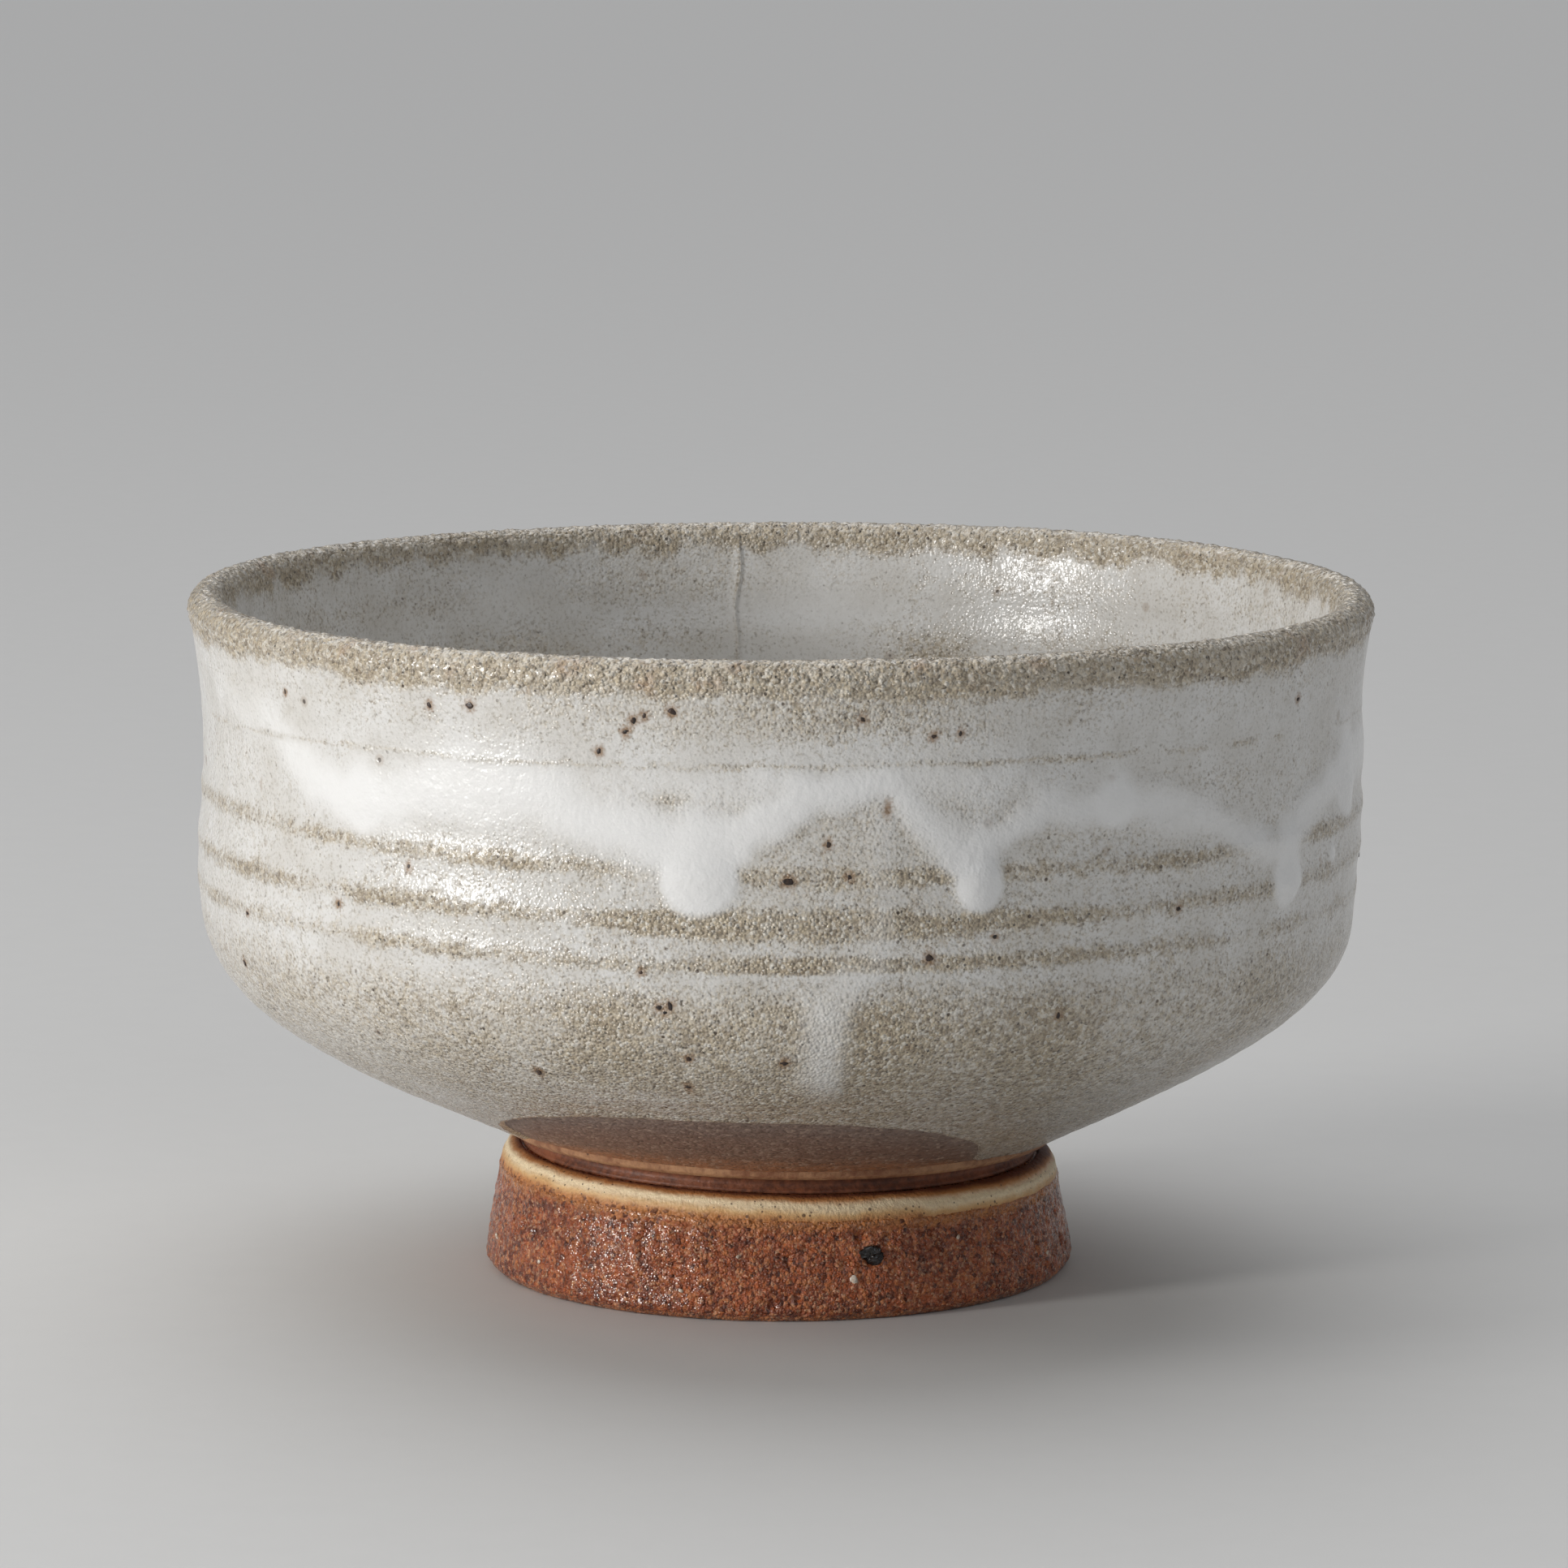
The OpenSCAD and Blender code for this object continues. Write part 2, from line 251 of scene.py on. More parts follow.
# Throwing ridges, where the glaze ran thin: height at the left, the front and the right, then
# half-width, height of the ridge, how bare it is and how much wider the bare band is at the front.
RIDGES = [
    (62.8, 64.9, 63.3, 0.28, 0.05, 0.55, 0),
    (54.7, 53.7, 53.0, 0.80, 0.12, 0.84, 0.35),
    (49.0, 48.6, 48.2, 0.85, 0.10, 0.92, 1.10),
    (44.1, 44.4, 43.6, 0.80, 0.10, 0.82, 0),
    (38.2, 38.0, 37.4, 0.60, 0.04, 0.35, 0),
    (58.9, 61.3, 59.8, 0.60, 0.02, 0.30, 0),
]


def ridge_z(ridge, phi):
    left, front, right = ridge[:3]
    a = np.radians(turn(phi, 0))
    mean, lean = (left + right) / 2, (right - left) / 2
    return mean + lean * np.sin(a) + (front - mean) * np.cos(a) + 0.12 * np.sin(5 * a + left)


def wall_relief(phi, z, p):
    """How far the glazed outside stands off the CAD's section."""
    up = 0
    for ridge in RIDGES:
        up = up + ridge[4] * bell(z, ridge_z(ridge, phi), ridge[3] * 1.15)
    rings = 0.05 * np.cos(2 * math.pi * (z - ridge_z(RIDGES[1], phi)) / 4.9)
    rings = rings * smooth(38, 46, z) * (1 - smooth(56, 59, z))
    trim = 0.03 * np.sin(2 * math.pi * np.hypot(p[..., 0], p[..., 1]) / 2.1) * (1 - smooth(28, 38, z))
    fade = 1 - smooth(70, 73, z)
    return (up + rings + trim) * fade + 0.12 * rough(p, 16, 3, 2) + 0.045 * rough(p, 4.5, 5, 2)


# The white pour, as a path of soft discs: angle, height and half-width, and how thick.
POUR = [
    [(-72, 68, 2.4, 0.2), (-60, 65.6, 2.8, 0.45), (-52, 61.5, 2.8, 0.8), (-44, 57.8, 3.2, 1.0)],
    [(-45, 58.5, 3, 1), (-32, 61, 4.2, 0.8), (-22, 61.5, 4.2, 0.85), (-14, 58, 3.6, 1), (-8, 55, 3.6, 1)],
    [(-34, 63.5, 3, 0.45), (-18, 63, 2.6, 0.4), (-4, 62.4, 2.4, 0.5)],
    [(-4, 62.4, 2.4, 0.5), (8, 63.5, 2.2, 0.6), (22, 62.6, 2.2, 0.4)],
    [(-8, 55.5, 3.4, 1.0), (-2, 59.5, 2.5, 1.0), (3, 62.3, 2.4, 1.0), (10, 63, 2.2, 0.9)],
    [(10, 63, 2.2, 0.8), (14.5, 59, 2.2, 0.8), (18, 55, 2.4, 0.9)],
    [(18.5, 55, 2.3, 0.8), (25, 60.5, 2.4, 0.8), (33, 60, 2.6, 0.8)],
    [(33, 60, 2.4, 0.8), (44, 57, 2.0, 0.7), (55, 52, 2.2, 0.8)],
    [(55, 52, 2.2, 0.8), (63, 57, 2.4, 0.8), (72, 59, 3.4, 1.0), (82, 60, 2.8, 0.9)],
    [(82, 60, 2.8, 0.9), (96, 57.5, 3.0, 0.9), (112, 60, 2.6, 0.8), (128, 59, 3.6, 1.0), (142, 61, 2.6, 0.8)],
    [(142, 61, 2.6, 0.8), (154, 56, 2.8, 0.9), (170, 59.5, 2.8, 0.8), (184, 57.5, 3.4, 1.0)],
    [(184, 57.5, 3.4, 1.0), (198, 61, 2.8, 0.8), (210, 59.5, 3.4, 1.0), (222, 60, 2.6, 0.8)],
    [(222, 60, 2.6, 0.8), (233, 56, 2.6, 0.9), (246, 60, 2.8, 0.8), (258, 57, 3.2, 0.9), (270, 61, 2.2, 0.5)],
    [(9.3, 62, 2.3, 0.34), (9.2, 52, 1.9, 0.28), (8.4, 44, 1.9, 0.34), (4.8, 40.2, 3, 0.52), (4, 32, 3, 0.5)],
]
# Drips: angle, top, lower end, half-width and how thick.
DRIPS = [
    (-43, 57.5, 55.0, 4.0, 0.75), (-7.4, 55.5, 49.6, 3.9, 1.15), (18.6, 55.5, 49.3, 2.7, 1.0),
    (32.5, 60, 56.8, 3.0, 0.7), (56.4, 52, 45.9, 2.9, 0.95), (71.6, 60, 53.3, 3.8, 0.95),
    (67.2, 50.2, 48.9, 1.1, 0.5), (98, 57, 51, 3.3, 0.95), (128, 59, 54.3, 4.2, 0.9),
    (153, 56, 48.5, 2.8, 1.0), (182, 57, 52.3, 3.8, 0.95), (208, 59, 55, 4.1, 0.85),
    (231, 56, 50, 3.1, 1.0), (256, 57, 53.5, 4.1, 0.9), (4.2, 39.6, 29.9, 2.9, 0.20),
    (193, 42, 34.5, 2.8, 0.7),
]


def disc_path(phi, z, stops):
    """Thickness, from 0 to 1, of a soft band through the stops."""
    best = np.zeros(np.broadcast(phi, z).shape)
    for a, b in zip(stops[:-1], stops[1:]):
        px, pz = np.radians(turn(phi, a[0])) * WALL_R, z - a[1]
        dx, dz = math.radians(b[0] - a[0]) * WALL_R, b[1] - a[1]
        t = np.clip((px * dx + pz * dz) / (dx * dx + dz * dz), 0, 1)
        away = np.hypot(px - t * dx, pz - t * dz)
        wide, deep = a[2] + t * (b[2] - a[2]), a[3] + t * (b[3] - a[3])
        best = np.maximum(best, deep * np.clip(1 - (away / (1.45 * wide)) ** 2, 0, 1) ** 1.6)
    return best


def pour_fields(phi, z, p):
    """Thickness of the white band and of its drips, each from 0 to about 1."""
    across = noise(p, 5.0, 41) + 0.5 * noise(p, 2.0, 43)
    upright = noise(p, 5.0, 42) + 0.5 * noise(p, 2.0, 44)
    wide_phi, wide_z = phi + across * math.degrees(0.9 / WALL_R), z + upright * 0.8
    band = np.zeros(wide_z.shape)
    for stops in POUR:
        band = np.maximum(band, disc_path(wide_phi, wide_z, stops))
    phi, z = phi + across * math.degrees(0.3 / WALL_R), z + upright * 0.25
    drips = np.zeros(wide_z.shape)
    for at, top, low, half, deep in DRIPS:
        px = np.radians(turn(phi, at)) * WALL_R
        pz = z - np.clip(z, low + half, max(top, low + half))
        away = np.hypot(px, np.where(pz > 0, pz * 0.6, pz)) / (1.08 * half)
        bead = 0.50 + 0.50 * (1 - smooth(low + half * 0.8, low + half * 2.4, z))
        drips = np.maximum(drips, deep * bead * np.clip(1 - (away / 1.15) ** 2, 0, 1) ** 1.35)
    return band, drips


def join(a, b):
    """The larger of two thicknesses, rounded where they meet."""
    return (a**4 + b**4) ** 0.25


def tan_field(phi, z, p):
    """How thin the pale glaze is, from 0 to 1: there the clay shows through it."""
    ragged = rough(p, 3.0, 61, 3)
    front = bell(turn(phi, 6), 0, 34)
    bare = np.zeros(z.shape)
    for k, ridge in enumerate(RIDGES):
        broad = 1 + ridge[6] * bell(turn(phi, 4), 0, 14)
        patchy = 0.64 + 0.26 * noise(p * [1, 1, 0.3], 7, 70 + k) + 0.34 * front
        off = np.abs(z + 0.30 * noise(p, 2.4, 80 + k) - ridge_z(ridge, phi)) / (ridge[3] * broad * 1.15)
        bare = np.maximum(bare, ridge[5] * patchy * (1 - smooth(0.45, 1.5, off)))
    rim = 0.95 * smooth(70.2, 73.0, z + 0.7 * noise(p, 4, 90))
    ahead = bell(turn(phi, 0), 0, 24)
    shoulder = 0.40 * smooth(64.5, 69.5, z) * (0.45 + 0.75 * ahead + 0.3 * noise(p, 8, 91))
    low = (1 - smooth(37.5, 46.5, z)) * (0.52 + 0.28 * front + 0.16 * noise(p, 9, 92))
    middle = smooth(43, 46, z) * (1 - smooth(61, 66, z)) * (0.18 + 0.18 * front)
    patch = 0.70 * bell(turn(phi, -10), 0, 3.0) * bell(z, 61.4, 1.1)
    return np.clip(np.maximum.reduce([bare, rim, shoulder, low, middle, patch]) + 0.13 * ragged, 0, 1)


# Iron specks that grew through the glaze: angle, height and radius.
IRON = [
    (-34.1, 69.7, 0.26), (-29.5, 70.0, 0.36), (-54, 68.9, 0.20), (-9.8, 70.4, 0.34), (-13.4, 69.4, 0.30),
    (-12.4, 69.9, 0.22), (-14.2, 68.2, 0.26), (-16.7, 66.1, 0.28), (7.4, 69.7, 0.26), (14, 67.8, 0.24),
    (16.5, 68, 0.20), (0.8, 53.2, 0.46), (4.4, 56.9, 0.24), (13.8, 45, 0.40), (20, 46.9, 0.22),
    (-10.1, 40.1, 0.32), (-11.2, 39.8, 0.28), (-10.6, 39.3, 0.18), (-8.7, 34.2, 0.30), (0.5, 33.9, 0.30),
    (-25, 31.4, 0.36), (-9.2, 30.6, 0.30), (-12.8, 43.5, 0.20), (-46, 47.5, 0.24), (40, 48, 0.25),
    (6.3, 53.6, 0.22), (-37, 52.5, 0.20), (-62, 44, 0.22), (95, 69.5, 0.28), (120, 42, 0.32), (138, 69, 0.22),
    (165, 45, 0.30), (188, 69.5, 0.26), (202, 47, 0.34), (245, 44, 0.30), (272, 68.5, 0.26), (295, 38, 0.30),
    (232, 66, 0.22), (150, 38, 0.26), (84, 47, 0.22), (58, 68, 0.24), (27, 38, 0.26), (219, 71, 0.22),
]


# Rust-coloured smears in the glaze: angle, height, half-width, half-height and strength.
RUST = [
    (9.8, 60.5, 0.6, 1.2, 0.75), (-8.7, 34.2, 0.9, 0.4, 0.8), (-31, 31.0, 0.7, 0.5, 0.4),
    (-21, 45.2, 0.5, 0.5, 0.5), (-4, 75, 1.2, 0.8, 0.5), (24, 74.8, 1.5, 0.8, 0.5), (64, 50, 0.6, 1.0, 0.5),
    (141, 62, 0.6, 1.2, 0.6), (230, 46, 0.6, 0.6, 0.6), (300, 58, 0.5, 1.0, 0.5),
]


def rust_field(phi, z):
    """Iron stains: the smears above and a brown edge round each iron speck."""
    spots = RUST + [(at, high, 0.42 + 1.2 * size, 0.42 + 1.2 * size, 0.80) for at, high, size in IRON]
    total = np.zeros(z.shape)
    for at, high, wide, tall, strength in spots:
        px = np.radians(turn(phi, at)) * WALL_R
        total = np.maximum(total, strength * np.exp(-((px / wide) ** 2) - ((z - high) / tall) ** 2))
    return total


def throwing_rings(phi, z, p):
    """The spiral left by the potter's fingers inside: 1 on its ridges and -1 between them."""
    spiral = np.radians(phi) / (2 * math.pi)
    wall = np.sin(2 * math.pi * (z / 6.4 + spiral)) * smooth(26, 34, z) * (1 - smooth(66, 73, z))
    floor = np.sin(2 * math.pi * (np.hypot(p[..., 0], p[..., 1]) / 5.2 - spiral)) * (1 - smooth(24, 32, z))
    return wall + floor


def inner_tan(phi, z, p):
    """The same inside: thin under the lip, in a few blotches and in runs below the lip."""
    rim = 0.95 * smooth(70.5, 74.6, z + 1.1 * noise(p * [1, 1, 0.3], 2.2, 93))
    blotch = 0.62 * bell(turn(phi, 162), 0, 8) * bell(z, 59.5, 5.5)
    blotch = np.maximum(blotch, 0.5 * bell(turn(phi, 212), 0, 13) * bell(z, 61, 5))
    low = 0.20 + 0.14 * noise(p, 12, 95) + 0.12 * throwing_rings(phi, z, p) - 0.16 * (1 - smooth(19, 21.5, z))
    streak = 0.34 * smooth(60, 71, z) * (0.5 + 0.6 * noise(p * [1, 1, 0.2], 2.6, 97))
    return np.clip(np.maximum.reduce([rim, blotch, low, streak]) + 0.12 * rough(p, 3.2, 64, 3), 0, 1)


# ---------------------------------------------------------------- meshes


def finish_mesh(name, points, faces, sharp=None, **attributes):
    """An object in metres from points in millimetres, shaded smooth apart from the sharp points' edges."""
    mesh = bpy.data.meshes.new(name)
    counts = np.array([len(f) for f in faces], np.int32)
    flat = np.fromiter((v for f in faces for v in f), np.int32, counts.sum())
    mesh.vertices.add(len(points))
    mesh.vertices.foreach_set("co", (np.asarray(points) * MM).astype(np.float32).ravel())
    mesh.loops.add(len(flat))
    mesh.loops.foreach_set("vertex_index", flat)
    mesh.polygons.add(len(faces))
    mesh.polygons.foreach_set("loop_start", np.concatenate([[0], np.cumsum(counts)[:-1]]).astype(np.int32))
    mesh.update(calc_edges=True)
    mesh.validate()
    mesh.polygons.foreach_set("use_smooth", np.ones(len(mesh.polygons), bool))
    if sharp is not None:
        ends = np.zeros(len(mesh.edges) * 2, np.int32)
        mesh.edges.foreach_get("vertices", ends)
        ends = ends.reshape(-1, 2)
        mark = mesh.attributes.new("sharp_edge", "BOOLEAN", "EDGE")
        mark.data.foreach_set("value", (sharp[ends[:, 0]] > 0) & (sharp[ends[:, 0]] == sharp[ends[:, 1]]))
    for key, values in attributes.items():
        mesh.attributes.new(key, "FLOAT", "POINT").data.foreach_set("value", values.astype(np.float32))
    piece = bpy.data.objects.new(name, mesh)
    bpy.context.scene.collection.objects.link(piece)
    return piece


def hand_over(piece, node, material):
    piece.data.materials.append(material)
    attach(piece, "root")
    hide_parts(node)


def ring_shell(name, rings, sharp_rings=(), fields=None):
    """Closed skin through rings of points, taken round from the last ring to the first.
    A ring of no radius becomes one point. fields gives a number for each point of each ring."""
    count, cols = rings.shape[:2]
    order = np.arange(count)
    pole = np.hypot(rings[..., 0], rings[..., 1]).max(axis=1) < 0.01
    kept = ~pole[:, None] | (np.arange(cols) == 0)
    index = np.cumsum(kept).reshape(kept.shape) - 1
    sharp = np.where(np.isin(order, sharp_rings), order + 1, 0)[:, None] + 0 * index
    faces = []
    for i, j in zip(order, np.roll(order, -1)):
        if pole[i] and pole[j]:
            continue
        quads = np.stack([index[i], np.roll(index[i], -1), np.roll(index[j], -1), index[j]], 1)
        faces += (quads[:, [0, 2, 3]] if pole[i] else quads[:, :3] if pole[j] else quads).tolist()
    values = {key: np.broadcast_to(value, kept.shape)[kept] for key, value in (fields or {}).items()}
    return finish_mesh(name, rings[kept], faces, sharp[kept], **values)


def columns(count):
    return np.arange(count) * (360.0 / count)


def spread(values, phi):
    """One ring for each value, with a column for each angle."""
    return np.asarray(values)[:, None] + 0 * phi


def skin_rings(phi, s, relief, sunk=0.0):
    """Rings of the skin at arc lengths s, raised by relief(phi, s, z, p)."""
    r, z = skin(s, sunk)
    up = relief(phi, s, z, place(phi, r, z)) if relief else 0
    return warp(on_skin(phi, s, up - sunk))


def coat(name, phi, s, relief, thick, back_step, fields, sunk=0.0):
    """A closed coat on the skin: finished face through rings s, back face sunk by its thickness."""
    back = s[::-back_step]
    if not np.allclose(back[-1].max(), s[0].max()):
        back = np.concatenate([back, s[:1]])
    rings = np.concatenate([skin_rings(phi, s, relief, sunk), skin_rings(phi, back, None, thick)])
    ends = (0, len(s) - 1, len(s), len(rings) - 1)
    s = np.concatenate([s, back])
    r, z = skin(s)
    return ring_shell(name, rings, ends, fields(phi, s, z, place(phi, r, z)))


LIP_TOP = (MARK["lip_out"] + MARK["lip_in"]) / 2


def inside_share(s):
    """0 outside the lip's crest and 1 inside it."""
    return smooth(LIP_TOP - 0.5, LIP_TOP + 2.5, s)


def glaze_fields(phi, s, z, p):
    """What the glaze's material reads: thin, white, rust and the sand on the lip."""
    share = inside_share(s)
    inside_white = 0.45 * bell(turn(phi, 176), 0, 9) * bell(z, 66, 6)
    inside_white = inside_white + 0.4 * bell(turn(phi, 212), 0, 10) * bell(z, 68, 4)
    sand_from = 71.2 + 1.6 * share
    return {
        "thin": tan_field(phi, z, p) * (1 - share) + inner_tan(phi, z, p) * share,
        "white": inside_white * share,
        "rust": rust_field(phi, z) * (1 - share),
        "sand": smooth(0, 2.2, z - sand_from + 0.8 * noise(p, 3, 99)),
    }


# ---------------------------------------------------------------- node materials


class Nodes:
    """Builds one material's nodes. Sizes are in millimetres on the object. Paint and emboss work on
    the colour and the normal made so far."""

    def __init__(self, name):
        self.material = bpy.data.materials.new(name)
        self.material.use_nodes = True
        self.tree = self.material.node_tree
        self.tree.nodes.clear()
        self.coords = self.add("ShaderNodeTexCoord").outputs["Object"]
        self.color = self.normal = None

    def add(self, kind, inputs=None, **settings):
        node = self.tree.nodes.new(kind)
        for key, value in settings.items():
            setattr(node, key, value)
        for key, value in (inputs or {}).items():
            self.put(node.inputs[key], value)
        return node

    def put(self, socket, value):
        if isinstance(value, bpy.types.NodeSocket):
            self.tree.links.new(value, socket)
        elif isinstance(value, tuple) and len(value) == 3 and socket.type == "RGBA":
            socket.default_value = (*value, 1)
        else:
            socket.default_value = value

    def math(self, operation, a, b=0.0):
        return self.add("ShaderNodeMath", {0: a, 1: b}, operation=operation).outputs[0]

    def sum(self, *terms):
        total = terms[0]
        for term in terms[1:]:
            total = self.math("ADD", total, term)
        return total

    def times(self, a, b):
        return self.math("MULTIPLY", a, b)

    def off(self, value):
        """A pattern from 0 to 1, turned into one that swings round 0."""
        return self.math("SUBTRACT", value, 0.5)

    def stretch(self, x, y, z):
        node = self.add("ShaderNodeVectorMath", {0: self.coords, 1: (x, y, z)}, operation="MULTIPLY")
        return node.outputs[0]

    def noise(self, size, detail=2.0, roughness=0.5, vector=None):
        inputs = {"Vector": vector or self.coords, "Scale": 1 / (size * MM)}
        inputs |= {"Detail": detail, "Roughness": roughness}
        return self.add("ShaderNodeTexNoise", inputs).outputs["Fac"]

    def cells(self, size):
        """Voronoi cells: three random tones for each, and the distance from its middle."""
        cell = self.add("ShaderNodeTexVoronoi", {"Vector": self.coords, "Scale": 1 / (size * MM)})
        tones = self.add("ShaderNodeSeparateColor", {"Color": cell.outputs["Color"]})
        return tones.outputs, cell.outputs["Distance"]

    def ramp(self, value, low, high, out_low=0.0, out_high=1.0):
        inputs = {"Value": value, "From Min": low, "From Max": high, "To Min": out_low, "To Max": out_high}
        node = self.add("ShaderNodeMapRange", inputs, interpolation_type="SMOOTHSTEP")
        return node.outputs["Result"]

    def mix(self, factor, a, b):
        return self.add("ShaderNodeMix", {0: factor, 6: a, 7: b}, data_type="RGBA").outputs[2]

    def paint(self, factor, tone, amount=None):
        factor = factor if amount is None else self.times(factor, amount)
        self.color = self.mix(factor, self.color, tone)

    def field(self, name):
        return self.add("ShaderNodeAttribute", attribute_name=name).outputs["Fac"]

    def grains(self, size):
        """Packed round grains: a random tone from 0 to 1 for each, and its height."""
        tones, distance = self.cells(size)
        return tones[1], self.ramp(distance, 0.0, 0.8, 1.0, 0.0)

    def specks(self, size, radius, share):
        """Round specks on a share of the cells: 1 inside a speck and 0 outside."""
        tones, distance = self.cells(size)
        near = self.ramp(distance, radius / size * 1.25, radius / size * 0.7)
        return self.times(near, self.math("LESS_THAN", tones[0], share))

    def bump(self, height, distance, normal=None, strength=1.0):
        inputs = {"Height": height, "Distance": distance * MM, "Strength": strength}
        if normal is not None:
            inputs["Normal"] = normal
        return self.add("ShaderNodeBump", inputs).outputs["Normal"]

    def emboss(self, height, distance, strength=1.0):
        self.normal = self.bump(height, distance, self.normal, strength)

    def finish(self, roughness, ior=1.5, coat=None):
        inputs = {"Base Color": self.color, "Roughness": roughness, "Normal": self.normal, "IOR": ior}
        inputs |= coat or {}
        shader = self.add("ShaderNodeBsdfPrincipled", inputs)
        output = self.add("ShaderNodeOutputMaterial")
        self.tree.links.new(shader.outputs[0], output.inputs["Surface"])
        return self.material


def glaze_material(name):
    """Pale glaze over tan clay. thin is 1 where the clay shows, white is 1 where the pour is thick,
    sand is 1 on the dry, grainy lip and rust is 1 in an iron stain."""
    n = Nodes(name)
    thin, white, rust, sand = (n.field(key) for key in ("thin", "white", "rust", "sand"))
    grain, fleck, cloud = n.noise(0.36, 2, 0.6), n.noise(1.0, 3, 0.65), n.noise(6.0, 3, 0.55)
    off_grain, off_fleck, off_cloud = n.off(grain), n.off(fleck), n.off(cloud)
    cover = n.ramp(n.sum(white, n.times(off_fleck, 0.32)), 0.04, 0.90)
    open_ = n.math("SUBTRACT", 1.0, n.times(cover, 0.92))
    # Clay shows through where the glaze is thin, broken up by the grains under it.
    broken = n.sum(thin, n.times(off_grain, 0.95), n.times(off_fleck, 0.80), n.times(off_cloud, 0.30))
    clay = n.times(n.ramp(broken, 0.08, 0.90), open_)
    tone, bumps = n.grains(0.38)
    tan = n.mix(n.ramp(n.noise(0.7, 3, 0.7), 0.34, 0.66), (0.300, 0.230, 0.145), (0.560, 0.468, 0.328))
    tan = n.mix(n.ramp(tone, 0.70, 0.95, 0.0, 0.75), tan, (0.74, 0.70, 0.62))
    tan = n.mix(n.ramp(tone, 0.26, 0.02, 0.0, 0.70), tan, (0.170, 0.132, 0.088))
    n.color = n.mix(n.ramp(cloud, 0.35, 0.65), (0.640, 0.620, 0.585), (0.715, 0.705, 0.685))
    n.paint(n.ramp(n.noise(1.5, 4, 0.7), 0.48, 0.70), (0.44, 0.405, 0.345), 0.34)
    n.paint(clay, tan, 0.92)
    grey = n.times(n.ramp(grain, 0.52, 0.66), n.sum(n.times(clay, 0.34), n.times(open_, 0.20)))
    n.paint(grey, (0.235, 0.208, 0.170))
    crust = n.ramp(n.sum(n.times(grain, 0.6), n.times(fleck, 0.8), n.times(cloud, 0.4)), 0.84, 1.06)
    n.paint(n.times(crust, sand), (0.61, 0.555, 0.465), 0.70)
    n.paint(n.times(n.ramp(n.noise(4.0, 3, 0.6), 0.58, 0.74), sand), (0.36, 0.19, 0.09), 0.40)
    n.paint(cover, (0.812, 0.806, 0.793))
    # Iron: fine dark specks, a few larger ones with a brown edge, and rust stains.
    shown = n.times(open_, n.sum(0.36, clay))
    fine, middling = n.times(n.specks(0.72, 0.135, 0.40), shown), n.times(n.specks(1.7, 0.20, 0.28), shown)
    large, halo = (n.times(n.specks(4.2, radius, 0.16), open_) for radius in (0.27, 0.62))
    n.paint(halo, (0.27, 0.17, 0.09), 0.34)
    n.paint(fine, (0.125, 0.112, 0.095), 0.72)
    n.paint(middling, (0.090, 0.065, 0.045), 0.85)
    n.paint(large, (0.045, 0.030, 0.022), 0.85)
    smear = n.ramp(n.sum(rust, n.times(off_grain, 0.5), n.times(off_fleck, 0.5)), 0.10, 0.75)
    n.paint(smear, (0.26, 0.145, 0.065), 0.82)
    # Relief: orange peel on the thick glaze, sandy grains where it is thin, pits at the specks.
    bare = n.math("MAXIMUM", clay, sand)
    lip_bumps = n.grains(0.75)[1]
    n.emboss(n.noise(0.85, 2, 0.5), 0.10, 0.9)
    n.emboss(bumps, 0.16, n.sum(n.times(bare, 0.85), n.times(open_, 0.10), 0.03))
    n.emboss(lip_bumps, 0.22, n.times(sand, 0.8))
    n.emboss(n.math("SUBTRACT", 1.0, n.math("MAXIMUM", fine, large)), 0.05, 0.6)
    roughness = n.sum(0.15, n.times(n.times(bare, tone), 0.16), n.times(n.noise(2.2, 3, 0.6), 0.13))
    # A smoother glassy layer over the grains, which glints.
    wet = n.times(n.ramp(tone, 0.25, 0.75, 0.15, 1.0), n.math("MAXIMUM", sand, n.times(clay, 0.5)))
    glassy = n.bump(lip_bumps, 0.05, n.bump(grain, 0.03), 0.9)
    return n.finish(roughness, 1.53, {"Coat Weight": wet, "Coat Roughness": 0.13, "Coat Normal": glassy})


